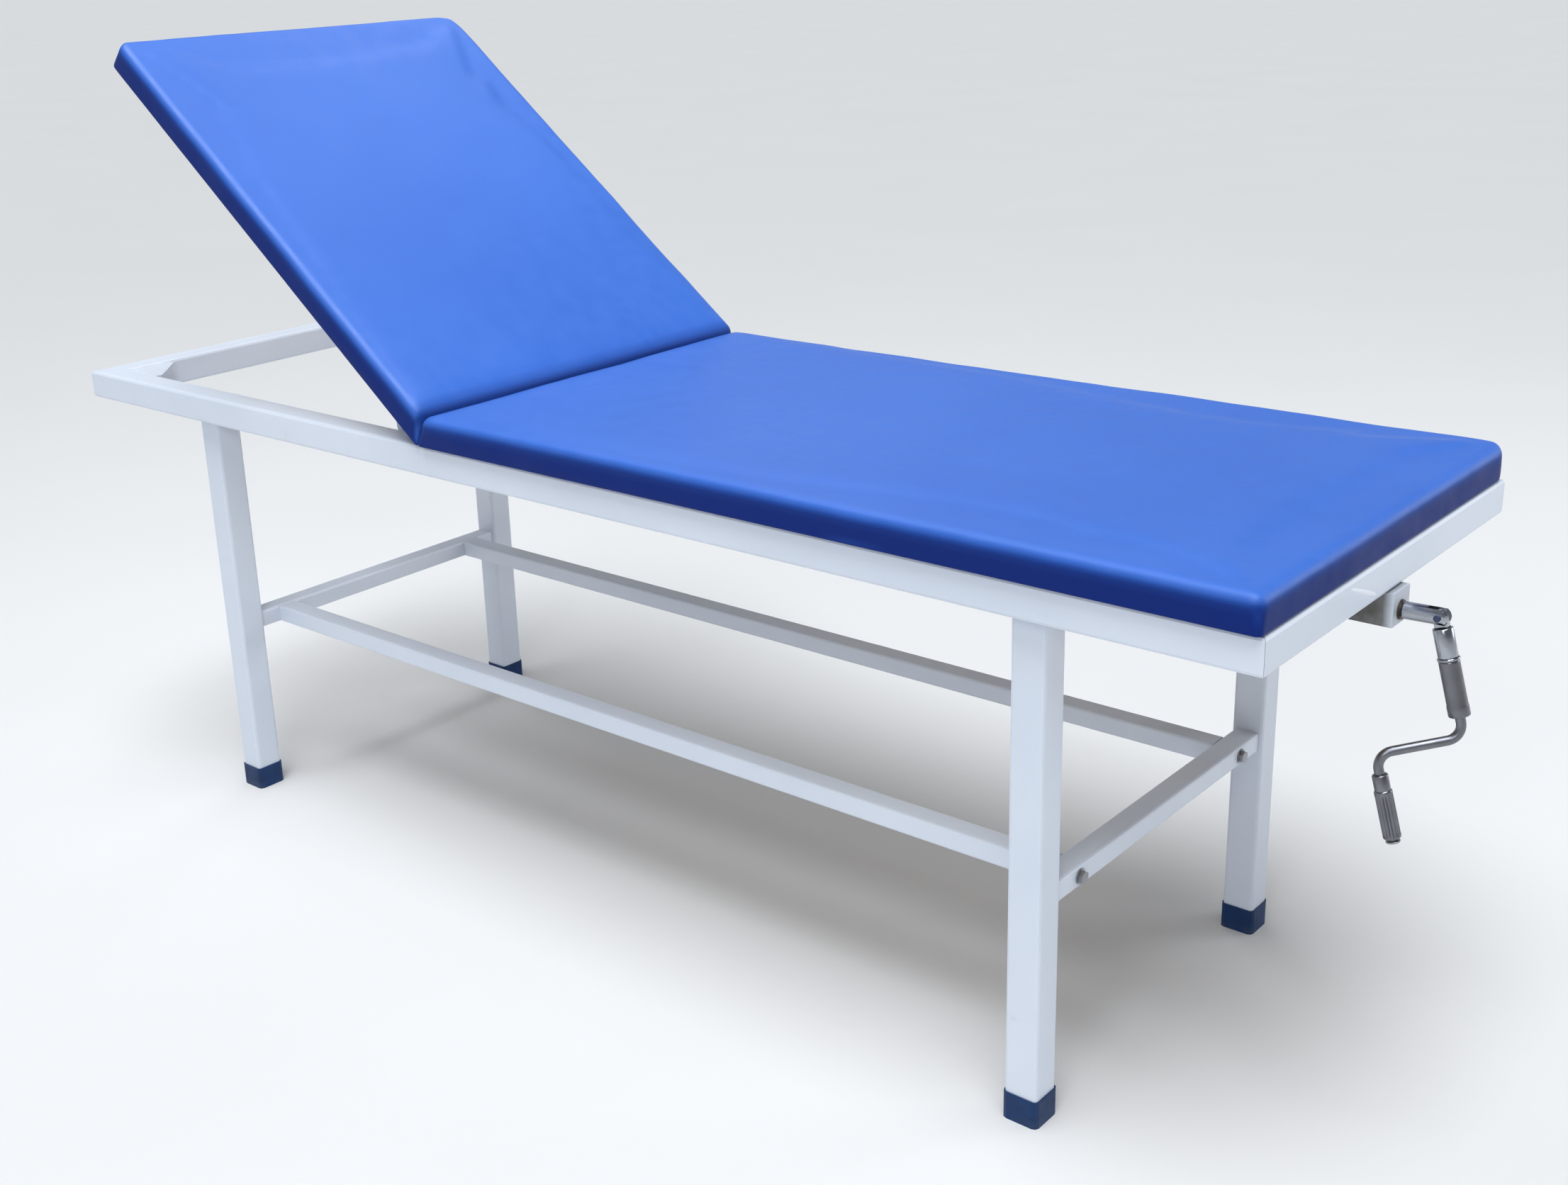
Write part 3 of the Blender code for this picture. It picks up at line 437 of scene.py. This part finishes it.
def aimed(location, axis):
    """Pose that takes local Z to axis."""
    turn = Vector((0.0, 0.0, 1.0)).rotation_difference(axis).to_matrix().to_4x4()
    return Matrix.Translation(location) @ turn


def rectangle(low, high, z):
    return [Vector((low.x, low.y, z)), Vector((high.x, low.y, z)),
            Vector((high.x, high.y, z)), Vector((low.x, high.y, z))]


def node_box(node):
    """A CAD node's corners in the couch's axes."""
    return tuple(Vector(corner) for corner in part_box(node))


def local_box(node, pose):
    """A CAD node's corners in the axes of pose."""
    inverse = pose.inverted()
    obj = frame["nodes"][node]
    points = [inverse @ (obj.matrix_world @ v.co) for v in obj.data.vertices]
    low = Vector([min(p[i] for p in points) for i in range(3)])
    high = Vector([max(p[i] for p in points) for i in range(3)])
    return low, high


# ---------------------------------------------------------------- CAD nodes that stay
def dress_cad_nodes():
    """Looks and small edge roundings of the nodes that show as they are."""
    slots = {s["node"]: s["material_slot"] for s in frame["record"]["subparts"]}
    for name, obj in frame["nodes"].items():
        look = SINGLE_LOOKS.get(name, SLOT_LOOKS[slots[name]])
        for index in range(len(obj.material_slots)):
            obj.material_slots[index].material = look
        obj.data.shade_smooth()
        obj.data.set_sharp_from_angle(angle=math.radians(50.0))
        if name.startswith("foot_cap") or name in ("crank_bracket", "push_yoke", "lift_lever"):
            bevel = obj.modifiers.new("edges", "BEVEL")
            bevel.width = 0.0012 if name.startswith("foot_cap") else 0.0006
            bevel.segments = 3
            bevel.limit_method = "ANGLE"
            bevel.angle_limit = math.radians(60.0)
        obj.modifiers.new("even_shading", "WEIGHTED_NORMAL").keep_sharp = True


# ---------------------------------------------------------------- pads
def edge_steps(low, high, low_zone, high_zone, spacing):
    """Grid places from low to high, close together in the rounded zones at both ends."""
    places = [low + low_zone * i / EDGE_ROWS for i in range(EDGE_ROWS)]
    inner_low, inner_high = low + low_zone, high - high_zone
    number = max(int(round((inner_high - inner_low) / spacing)), 1)
    places += [inner_low + (inner_high - inner_low) * i / number for i in range(number + 1)]
    places += [inner_high + high_zone * (i + 1) / EDGE_ROWS for i in range(EDGE_ROWS)]
    return places


def slab_mesh(name, low, high, rounds, corners, crease, lean):
    """A slab with its own edge radius on each side (x-, x+, y-, y+, z-, z+) and plan corners
    (x- near, x- far, x+ near, x+ far). Lean shifts the underside of the end at the crease."""
    zones = [(rounds[0], rounds[1]), (rounds[2], rounds[3]), (rounds[4], rounds[5])]
    spacing = (PAD_GRID, PAD_GRID, PAD_GRID * 0.6)
    grids = [edge_steps(low[i], high[i], zones[i][0], zones[i][1], spacing[i]) for i in range(3)]
    sizes = [len(g) for g in grids]
    index = {}
    verts = []

    def vertex(i, j, k):
        key = (i, j, k)
        if key not in index:
            index[key] = len(verts)
            verts.append(rounded(Vector((grids[0][i], grids[1][j], grids[2][k]))))
        return index[key]

    def rounded(point):
        """Edges are tight at the underside and open out towards the face."""
        level = min(max((point.z - low.z - zones[2][0]) / (high.z - low.z - sum(zones[2])), 0.0), 1.0)
        level = level * level * (3.0 - 2.0 * level)
        core = Vector()
        offset = Vector()
        radius = Vector()
        for axis in range(3):
            low_r, high_r = zones[axis]
            if axis < 2:
                low_r = EDGE_TIGHT + (low_r - EDGE_TIGHT) * level
                high_r = EDGE_TIGHT + (high_r - EDGE_TIGHT) * level
            core[axis] = min(max(point[axis], low[axis] + low_r), high[axis] - high_r)
            radius[axis] = low_r if point[axis] < core[axis] else high_r
            offset[axis] = (point[axis] - core[axis]) / radius[axis]
        if offset.length > 1e-9:
            offset.normalize()
        moved = plan_rounded(core + Vector(offset[axis] * radius[axis] for axis in range(3)))
        close = max(1.0 - abs(moved.x - crease) / LEAN_REACH, 0.0)
        moved.x += lean * close * (high.z - moved.z) / (high.z - low.z)
        return moved

    def plan_rounded(point):
        left = point.x < (low.x + high.x) / 2
        near = point.y < (low.y + high.y) / 2
        reach = corners[(0 if left else 2) + (0 if near else 1)]
        dx = (low.x + reach - point.x) if left else (point.x - high.x + reach)
        dy = (low.y + reach - point.y) if near else (point.y - high.y + reach)
        if reach < 1e-6 or dx <= 0.0 or dy <= 0.0:
            return point
        u, v = dx / reach, dy / reach
        new_u, new_v = u * math.sqrt(1.0 - v * v / 2), v * math.sqrt(1.0 - u * u / 2)
        x = low.x + reach - new_u * reach if left else high.x - reach + new_u * reach
        y = low.y + reach - new_v * reach if near else high.y - reach + new_v * reach
        return Vector((x, y, point.z))

    faces = []
    for axis in range(3):
        first, second = [n for n in range(3) if n != axis]
        for end in (0, sizes[axis] - 1):
            for i in range(sizes[first] - 1):
                for j in range(sizes[second] - 1):
                    loop = []
                    for di, dj in ((0, 0), (1, 0), (1, 1), (0, 1)):
                        key = [0, 0, 0]
                        key[axis], key[first], key[second] = end, i + di, j + dj
                        loop.append(vertex(*key))
                    faces.append(tuple(loop))
    return mesh_from(name, verts, faces)


def fill_cover(mesh, held):
    """Inflate the cover as cloth and keep what moves outwards, which levels off at the furthest
    swell. Points that held() names keep their place."""
    obj = bpy.data.objects.new("cover", mesh)
    bpy.context.scene.collection.objects.link(obj)
    group = obj.vertex_groups.new(name="held")
    group.add([v.index for v in mesh.vertices if held(v.co)], 1.0, "REPLACE")
    normals = [v.normal.copy() for v in mesh.vertices]
    start = [v.co.copy() for v in mesh.vertices]
    cloth = obj.modifiers.new("cover", "CLOTH")
    settings = cloth.settings
    settings.quality = 5
    settings.mass = 0.4
    settings.tension_stiffness = 18.0
    settings.compression_stiffness = 18.0
    settings.bending_stiffness = 1.2
    settings.use_pressure = True
    settings.uniform_pressure_force = COVER_PRESSURE
    settings.vertex_group_mass = "held"
    settings.effector_weights.gravity = 0.0
    cloth.collision_settings.use_collision = False
    scene = bpy.context.scene
    for step in range(CLOTH_STEPS):
        scene.frame_set(step + 1)
    depsgraph = bpy.context.evaluated_depsgraph_get()
    settled = obj.evaluated_get(depsgraph).to_mesh()
    moved = [v.co.copy() for v in settled.vertices]
    obj.evaluated_get(depsgraph).to_mesh_clear()
    for vert, old, new, normal in zip(mesh.vertices, start, moved, normals):
        most = PAD_SWELL_SIDE + (PAD_SWELL_TOP - PAD_SWELL_SIDE) * max(normal.z, 0.0)
        outward = max((new - old).dot(normal), 0.0)
        vert.co = old + normal * most * (1.0 - math.exp(-outward / most))
    scene.frame_set(1)
    bpy.data.objects.remove(obj, do_unlink=True)


def soften(mesh, low, high, seed):
    """Slight hand-made unevenness: a soft wave along the sides, less over the flat top."""
    normals = [v.normal.copy() for v in mesh.vertices]
    for vert, normal in zip(mesh.vertices, normals):
        co = vert.co
        inwards = min(co.x - low.x, high.x - co.x, co.y - low.y, high.y - co.y)
        near_edge = 1.0 - min(max(inwards / WAVE_REACH, 0.0), 1.0)
        lift = min(max((co.z - low.z) / 0.012, 0.0), 1.0)
        place = co * 9.0 + Vector((seed, 0.0, 0.0))
        wave = noise.noise(place) * (0.0006 + 0.0008 * near_edge)
        ripple = noise.noise(place * 3.1) * 0.0005 * near_edge
        vert.co = co + normal * (wave + ripple) * lift


def mark_painted_shade(mesh, low, high, crease):
    """Painted shade on the pad's sides and underside, darker towards the bottom, and along the crease, as a
    value at each point.
    """
    painted_shade = mesh.attributes.new("painted_shade", "FLOAT", "POINT")
    span = high.z - low.z
    for vert in mesh.vertices:
        level = (vert.co.z - low.z) / span
        side = min(max((0.80 - vert.normal.z) / 0.70, 0.0), 1.0)
        deep = min(max((1.0 - level) / 0.5, 0.0), 1.0)
        # painted shade in the valley at the crease
        valley = 0.75 * min(max(1.0 - abs(vert.co.x - crease) / VALLEY_REACH, 0.0), 1.0)
        painted_shade.data[vert.index].value = max(side * (0.55 + 0.45 * deep), valley)


def build_pad(name, node, board, body, low, high, pose, seed, rounds, corners, crease_end, lean):
    """crease_end is 0 or 1, the end in x that meets the other pad and doesn't swell."""
    start_low = low + Vector((PAD_SWELL_SIDE, PAD_SWELL_SIDE, 0.0))
    start_high = high - Vector((PAD_SWELL_SIDE, PAD_SWELL_SIDE, PAD_SWELL_TOP))
    if crease_end == 0:
        start_low.x = low.x
    else:
        start_high.x = high.x - CREASE_PRESS
    crease = (start_low.x, start_high.x)[crease_end]
    mesh = slab_mesh(name, start_low, start_high, rounds, corners, crease, lean)
    fill_cover(mesh, lambda co: co.z < low.z + HELD_BAND or abs(co.x - crease) < LEAN_REACH / 3)
    soften(mesh, low, high, seed)
    mark_painted_shade(mesh, low, high, crease)
    pad = new_piece(name, mesh, VINYL, body, (node,), smooth=0, pose=pose)
    mesh.shade_smooth()
    subdivide = pad.modifiers.new("fine", "SUBSURF")
    subdivide.levels = 1
    subdivide.render_levels = 1
    build_underside(f"{name}_panel", board, body, low, high, pose)


def build_underside(name, board, body, low, high, pose):
    """The board's open underside inside the folded margin of the cover, and its staples."""
    inside_low = low + Vector((COVER_MARGIN, COVER_MARGIN, 0.0))
    inside_high = high - Vector((COVER_MARGIN, COVER_MARGIN, 0.0))
    corners = rectangle(inside_low, inside_high, 0.0)
    wavy = []
    for side, corner in enumerate(corners):
        steps = MARGIN_STEPS // (1 + side % 2)
        for i in range(steps):
            point = corner + (corners[(side + 1) % 4] - corner) * i / steps
            wander = MARGIN_WANDER * noise.noise(point * 23.0)
            wavy.append((point.x + wander, point.y + wander))
    total = len(wavy)
    z_top = low.z - PANEL_GAP
    z_low = z_top - PANEL_THICK
    verts = [(x, y, z_low) for x, y in wavy] + [(x, y, z_top) for x, y in wavy]
    faces = [tuple(reversed(range(total))), tuple(range(total, 2 * total))]
    for i in range(total):
        j = (i + 1) % total
        faces.append((i, j, total + j, total + i))
    new_piece(name, mesh_from(name, verts, faces), PLYWOOD, body, (board,), pose=pose)
    staples = []
    inset = COVER_MARGIN - STAPLE_INSET
    for axis, other in ((0, 1), (1, 0)):
        length = high[axis] - low[axis] - 2 * STAPLE_END
        number = int(length / STAPLE_SPACING)
        for fixed in (low[other] + inset, high[other] - inset):
            for i in range(number + 1):
                centre = Vector((0.0, 0.0, z_top))
                centre[axis] = low[axis] + STAPLE_END + length * i / number
                centre[other] = fixed
                skew = 0.35 * noise.noise(centre * 40.0)
                half = Vector((math.cos(skew), math.sin(skew), 0.0)) * STAPLE_HALF
                if axis == 1:
                    half = Vector((-half.y, half.x, 0.0))
                line = [centre - half, centre, centre + half]
                staples.append(sweep("staple", line, [STAPLE_WIRE_R] * 3, 6))
    new_piece(f"{name}_staples", join_meshes("staples", staples), STAPLE, body, pose=pose)


def build_pads():
    """Both pads, with their edge radii, plan corners, crease end and lean."""
    seat = ("seat_cushion", "seat_pad", "seat_board", "frame", Matrix.Identity(4), 3.0)
    back = ("back_cushion", "back_pad", "back_board", "backrest", BACK_POSE, 11.0)
    shapes = ((seat, (0.012, 0.016, 0.013, 0.013, 0.003, 0.014), (0.0, 0.0, 0.007, 0.026), 0, -0.007),
              (back, (0.011, 0.010, 0.014, 0.014, 0.003, 0.013), (0.016, 0.038, 0.0, 0.0), 1, 0.0185))
    for (name, node, board, body, pose, seed), rounds, corners, crease_end, lean in shapes:
        low, high = local_box(node, pose)
        board_low, board_high = local_box(board, pose)
        low.z = board_low.z + PANEL_THICK + PANEL_GAP
        if crease_end == 0:
            low.x = board_low.x - BOARD_INSET
        else:
            high.x = board_high.x + BOARD_INSET
        build_pad(name, node, board, body, low, high, pose, seed, rounds, corners, crease_end, lean)


# ---------------------------------------------------------------- welds
def bead(start, end, radius):
    """A weld bead: a line of overlapping ripples from start to end."""
    length = (end - start).length
    count = max(int(length / (BEAD_RIPPLE / 4)), 8)
    points = []
    radii = []
    for i in range(count + 1):
        t = i / count
        point = start.lerp(end, t)
        wander = noise.noise(point * 130.0) * 0.0004
        points.append(point + Vector((wander, wander, wander)))
        swell = 0.86 + 0.14 * abs(math.sin(math.pi * t * length / BEAD_RIPPLE))
        taper = min(1.0, 0.35 + min(t, 1.0 - t) * length / 0.004)
        radii.append(radius * swell * taper)
    return sweep("bead", points, radii, 8)


def ground_bead(start, end):
    """A weld ground almost flush with the foot rail's outer face."""
    count = 24
    points = []
    radii = []
    for i in range(count + 1):
        t = i / count
        points.append(start.lerp(end, t))
        taper = 0.35 + 0.65 * math.sqrt(max(math.sin(math.pi * t), 0.0))
        radii.append((0.0022 + 0.0016 * t) * taper)
    mesh = sweep("bead", points, radii, 12)
    for vert in mesh.vertices:
        vert.co.x = start.x + (vert.co.x - start.x) * GROUND_HEIGHT
    return mesh


def loop_of_beads(corners, radius):
    return [bead(corners[i], corners[(i + 1) % len(corners)], radius) for i in range(len(corners))]


def cross_tube_beads(low, high, side_inset, top_inset, under_inset, radius):
    """Beads at both ends of a tube that runs across: up its two sides and along its underside."""
    beads = []
    for y in (low.y, high.y):
        for x in (low.x + side_inset, high.x - side_inset):
            beads.append(bead(Vector((x, y, low.z + 0.003)), Vector((x, y, high.z - top_inset)), radius))
        beads.append(bead(Vector((low.x + under_inset, y, low.z)),
                          Vector((high.x - under_inset, y, low.z)), radius))
    return beads


def weld_piece(name, mesh, body="frame", mat=WELD, pose=None):
    new_piece(name, mesh, mat, body, smooth=60, pose=pose)


def build_leg_welds():
    """Beads around the legs' tops and around the ends of the cross stretchers."""
    inset = Vector((0.002, 0.002, 0.0))
    legs = []
    stretchers = []
    for end in ("head", "foot"):
        cross_low, cross_high = node_box(f"cross_stretcher_{end}")
        left, right = cross_low.x + 0.002, cross_high.x - 0.002
        bottom, top = cross_low.z + 0.002, cross_high.z - 0.002
        for side, y in (("near", cross_low.y), ("far", cross_high.y)):
            low, high = node_box(f"leg_{end}_{side}")
            legs += loop_of_beads(rectangle(low + inset, high - inset, RAIL_BOTTOM), LEG_BEAD_R)
            ring = [Vector((left, y, bottom)), Vector((right, y, bottom)),
                    Vector((right, y, top)), Vector((left, y, top))]
            stretchers += loop_of_beads(ring, STRETCHER_BEAD_R)
    weld_piece("leg_welds", join_meshes("welds", legs))
    weld_piece("stretcher_welds", join_meshes("welds", stretchers))


def build_frame_welds():
    """The ground weld on the foot rail, and the beads of the bracket, cross members and gussets."""
    beads = []
    low, high = node_box("crank_bracket")
    for y in (low.y, high.y):
        beads.append(bead(Vector((low.x + 0.002, y, RAIL_BOTTOM)),
                          Vector((RAIL_FACE - 0.006, y, RAIL_BOTTOM)), BRACKET_BEAD_R))
    streak = ground_bead(Vector((RAIL_FACE, -0.118, RAIL_BOTTOM + 0.0335)),
                         Vector((RAIL_FACE, -0.050, RAIL_BOTTOM + 0.0070)))
    weld_piece("ground_weld", streak, mat=PALE_WELD)
    for number in (1, 2, 3):
        low, high = node_box(f"seat_cross_member_{number}")
        beads += cross_tube_beads(low, high, 0.002, 0.004, 0.003, FRAME_BEAD_R)
    for side in ("near", "far"):
        low, high = node_box(f"corner_gusset_{side}")
        y = low.y if side == "near" else high.y
        beads.append(bead(Vector((low.x + 0.004, y, high.z)), Vector((high.x - 0.004, y, high.z)),
                          FRAME_BEAD_R))
        y0, y1 = (y + 0.004, high.y - 0.004) if side == "near" else (low.y + 0.004, y - 0.004)
        beads.append(bead(Vector((low.x, y0, high.z)), Vector((low.x, y1, high.z)), FRAME_BEAD_R))
    weld_piece("frame_welds", join_meshes("welds", beads))


def build_back_welds():
    """Beads between the backrest's tubes, its hinge plates and its lever, in the back's own axes."""
    beads = []
    for number in (1, 2, 3):
        low, high = local_box(f"back_cross_tube_{number}", BACK_POSE)
        beads += cross_tube_beads(low, high, 0.001, 0.003, 0.002, BACK_BEAD_R)
    low, high = local_box("hinge_tube", BACK_POSE)
    radius = (high.z - low.z) / 2
    for y in (low.y, high.y, -LEVER_HALF, LEVER_HALF):
        ring = []
        for k in range(13):
            angle = math.radians(150 + 240 * k / 12)
            ring.append(Vector((radius * math.cos(angle), y, radius * math.sin(angle))))
        radii = [BACK_BEAD_R * (0.85 + 0.15 * (k % 2)) for k in range(13)]
        beads.append(sweep("bead", ring, radii, 8))
    weld_piece("backrest_welds", join_meshes("welds", beads), "backrest", pose=BACK_POSE)


# ---------------------------------------------------------------- crank
def height_span(node, origin, axis):
    """A node's nearest and furthest reach along axis from origin."""
    obj = frame["nodes"][node]
    reach = [(obj.matrix_world @ v.co - origin).dot(axis) for v in obj.data.vertices]
    return min(reach), max(reach)


def build_sleeves():
    """The upper sleeve, the ring and the lower sleeve of the folding arm."""
    pose = aimed(FOLD_PIN, SLEEVE_AXIS)
    lo, hi = height_span("crank_sleeve_upper", FOLD_PIN, SLEEVE_AXIS)
    wall = [(0.0088, lo), (0.0095, lo + 0.0003), (0.0100, lo + 0.0010), (0.0100, hi - 0.0012),
            (0.0096, hi), (0.0080, hi), (0.0080, lo)]
    new_piece("sleeve_upper", turned("sleeve", wall, looped=True), CHROME, "crank",
              ("crank_sleeve_upper",), pose=pose)
    lo, hi = height_span("crank_ring", FOLD_PIN, SLEEVE_AXIS)
    ring = [(0.0098, lo), (0.0106, lo + 0.0002), (0.0111, lo + 0.0008), (0.0112, (lo + hi) / 2),
            (0.0111, hi - 0.0008), (0.0106, hi - 0.0002), (0.0098, hi)]
    new_piece("sleeve_ring", turned("ring", ring), CHROME, "crank", ("crank_ring",), pose=pose)
    lo, hi = height_span("crank_sleeve_lower", FOLD_PIN, SLEEVE_AXIS)
    wall = [(0.0098, lo), (0.0103, lo + 0.0006), (0.0104, lo + 0.002), (0.0104, hi - 0.0125),
            (0.0106, hi - 0.0115), (0.0108, hi - 0.0105), (0.0108, hi - 0.001), (0.0104, hi - 0.0003),
            (0.0098, hi), (0.0058, hi - 0.001), (0.0054, hi - 0.003), (0.0054, lo)]
    new_piece("sleeve_lower", turned("sleeve", wall, looped=True), DULL_CHROME_PAINTED_DARK, "crank",
              ("crank_sleeve_lower",), pose=pose)


def build_rod():
    """The Z-bent rod, along the same bends as the CAD rod."""
    obj = frame["nodes"]["crank_rod"]
    arm = (GRIP_TOP - FOLD_PIN) - SLEEVE_AXIS * (GRIP_TOP - FOLD_PIN).dot(SLEEVE_AXIS)
    arm_axis = arm.normalized()
    elbow = GRIP_TOP - arm
    lo, _ = height_span("crank_rod", FOLD_PIN, SLEEVE_AXIS)
    tip = max((v.co - GRIP_TOP).dot(SLEEVE_AXIS) for v in obj.data.vertices)
    points = [FOLD_PIN + SLEEVE_AXIS * (lo + 0.0005)]
    for corner, incoming, outgoing in ((elbow, SLEEVE_AXIS, arm_axis), (GRIP_TOP, arm_axis, SLEEVE_AXIS)):
        centre = corner - ROD_BEND * incoming + ROD_BEND * outgoing
        for i in range(15):
            angle = math.pi / 2 * i / 14
            points.append(centre - ROD_BEND * math.cos(angle) * outgoing
                          + ROD_BEND * math.sin(angle) * incoming)
    points.append(GRIP_TOP + SLEEVE_AXIS * (tip - 0.0003))
    radii = []
    for point in points:
        nearest = min((point - elbow).length, (point - GRIP_TOP).length)
        radii.append(ROD_R * (0.985 if nearest < ROD_BEND else 1.0) - 0.00005)
    new_piece("crank_bar", sweep("bar", points, radii, 32), DULL_CHROME_PAINTED_DARK, "crank",
              ("crank_rod",), smooth=60)


def build_grip():
    """The fluted grip, with its plain collar and its bore, and the button at its end."""
    lo, hi = height_span("crank_grip", GRIP_TOP, SLEEVE_AXIS)
    collar = lo + 0.0170
    ribs_from = collar + 0.0030
    ribs_to = hi - 0.0030

    def groove(height):
        if height < ribs_from or height > ribs_to:
            return 0.0
        from_end = min(height - ribs_from, ribs_to - height)
        return FLUTE_DEPTH * min(1.0, from_end / FLUTE_RUN_OUT)

    profile = [(0.0062, lo), (0.0074, lo + 0.0004), (0.0080, lo + 0.0014), (0.0080, collar - 0.0010),
               (0.0079, collar - 0.0003), (0.0083, collar), (0.0089, collar + 0.0006),
               (GRIP_R, collar + 0.0015)]
    for i in range(RIB_ROWS + 1):
        profile.append((GRIP_R, ribs_from + (ribs_to - ribs_from) * i / RIB_ROWS))
    profile += [(0.0090, hi - 0.0015), (0.0086, hi - 0.0005), (0.0078, hi),
                (GRIP_BORE, hi), (GRIP_BORE, lo)]
    mesh = turned("grip", profile, FLUTE_COUNT * 10, looped=True, flutes=groove)
    new_piece("grip_fluted", mesh, DULL_CHROME_PAINTED_DARK, "grip", ("crank_grip",), smooth=50,
              pose=aimed(GRIP_TOP, SLEEVE_AXIS))
    lo, hi = height_span("grip_button", GRIP_TOP, SLEEVE_AXIS)
    profile = [(0.0070, lo), (0.0073, lo + 0.0003), (0.0073, lo + 0.0014), (0.0066, hi - 0.0008),
               (0.0048, hi - 0.0002), (0.0020, hi)]
    new_piece("grip_end", turned("end", profile), CHROME, "crank", ("grip_button",),
              pose=aimed(GRIP_TOP, SLEEVE_AXIS))


def build_screw():
    """The lead screw, with a two-start trapezoid thread and a plain journal at its foot end."""
    lo, hi = height_span("lead_screw", FOLD_PIN, -SCREW_AXIS)
    journal = lo + JOURNAL
    steps = 24
    verts = []
    heights = [lo, lo + 0.0008, journal - 0.0005]
    total = int((hi - journal) / THREAD_PITCH * THREAD_ROWS)
    heights += [journal + (hi - journal) * i / total for i in range(total + 1)]
    for row, height in enumerate(heights):
        for k in range(steps):
            turn = k / steps
            r = SCREW_R
            if row == 0 or row == len(heights) - 1:
                r -= THREAD_DEPTH
            elif height > journal:
                phase = ((height - journal) / THREAD_PITCH - THREAD_STARTS * turn) % 1.0
                wave = min(max((abs(phase - 0.5) * 4.0) - 0.5, 0.0), 1.0)
                r -= THREAD_DEPTH * wave
            angle = 2 * math.pi * turn
            verts.append((r * math.cos(angle), r * math.sin(angle), height))
    mesh = mesh_from("thread", verts, ring_faces(len(heights), steps))
    new_piece("thread", mesh, ZINC, "crank_shaft",
              ("lead_screw",), smooth=30, pose=aimed(FOLD_PIN, -SCREW_AXIS))


def build_pin_heads():
    """Domed ends of the fold pin."""
    low, high = node_box("fold_pin")
    centre = (low + high) / 2
    heads = []
    for sy in (-1, 1):
        tip = high.y if sy > 0 else low.y
        dome = [(0.0036, 0.0), (0.0036, 0.0003), (0.0030, 0.0008), (0.0018, 0.0011), (0.0006, 0.0012)]
        mesh = turned("dome", dome, 24)
        mesh.transform(aimed(Vector((centre.x, tip, centre.z)), Vector((0.0, sy, 0.0))))
        heads.append(mesh)
    new_piece("fold_pin_heads", join_meshes("heads", heads), PIN_DARK, "crank_shaft")


# ---------------------------------------------------------------- stage
def build_camera():
    data = bpy.data.cameras.new("camera")
    data.sensor_width = SENSOR_MM
    data.lens = FOCAL_MM
    data.shift_x, data.shift_y = SHIFT
    camera = bpy.data.objects.new("camera", data)
    bpy.context.scene.collection.objects.link(camera)
    right = CAMERA_RIGHT.normalized()
    back = right.cross(CAMERA_UP).normalized()
    up = back.cross(right)
    basis = Matrix((right, up, back)).transposed().to_4x4()
    camera.matrix_world = Matrix.Translation(CAMERA_PLACE) @ basis
    bpy.context.scene.camera = camera


def area_light(name, place, target, size, power):
    data = bpy.data.lights.new(name, "AREA")
    data.shape = "RECTANGLE"
    data.size, data.size_y = size
    data.energy = power
    data.color = COOL
    light = bpy.data.objects.new(name, data)
    bpy.context.scene.collection.objects.link(light)
    aim = (Vector(target) - Vector(place)).normalized()
    light.matrix_world = Matrix.Translation(place) @ aim.to_track_quat("-Z", "Y").to_matrix().to_4x4()


def build_floor():
    mesh = bpy.data.meshes.new("floor")
    corners = rectangle(Vector((-FLOOR_HALF, -FLOOR_HALF, 0.0)), Vector((FLOOR_HALF, FLOOR_HALF, 0.0)), 0.0)
    mesh.from_pydata([tuple(corner) for corner in corners], [], [(0, 1, 2, 3)])
    floor = bpy.data.objects.new("floor", mesh)
    bpy.context.scene.collection.objects.link(floor)
    n = Nodes("floor_pale", (0.80, 0.80, 0.81), 0.9)
    n.to("Base Color", n.mix(n.noise(1.5, 3.0), *FLOOR_TONES))
    n.shader.inputs["Specular IOR Level"].default_value = 0.1
    mesh.materials.append(n.mat)


def build_light():
    """A world that fades from the horizon upwards, a broad sun and four panels."""
    world = bpy.data.worlds.new("studio")
    bpy.context.scene.world = world
    world.use_nodes = True
    tree = world.node_tree
    background = tree.nodes["Background"]
    direction = tree.nodes.new("ShaderNodeTexCoord").outputs["Generated"]
    split = tree.nodes.new("ShaderNodeSeparateXYZ")
    tree.links.new(direction, split.inputs["Vector"])
    fade = tree.nodes.new("ShaderNodeValToRGB")
    for element, position, tone in zip(fade.color_ramp.elements, FADE, (HORIZON, ZENITH)):
        element.position = position
        element.color = (*tone, 1.0)
    tree.links.new(split.outputs["Z"], fade.inputs["Fac"])
    tree.links.new(fade.outputs["Color"], background.inputs["Color"])
    background.inputs["Strength"].default_value = 1.0
    data = bpy.data.lights.new("sky_panel", "SUN")
    data.energy = SUN_STRENGTH
    data.angle = SUN_SPREAD
    data.color = COOL
    sun = bpy.data.objects.new("sky_panel", data)
    bpy.context.scene.collection.objects.link(sun)
    sun.rotation_mode = "QUATERNION"
    sun.rotation_quaternion = Vector(SUN_FROM).to_track_quat("Z", "Y")
    for light in AREA_LIGHTS:
        area_light(*light)
    bpy.context.scene.view_settings.view_transform = "Standard"


build_camera()
build_floor()
build_light()
dress_cad_nodes()
build_pads()
build_leg_welds()
build_frame_welds()
build_back_welds()
build_sleeves()
build_rod()
build_grip()
build_screw()
build_pin_heads()
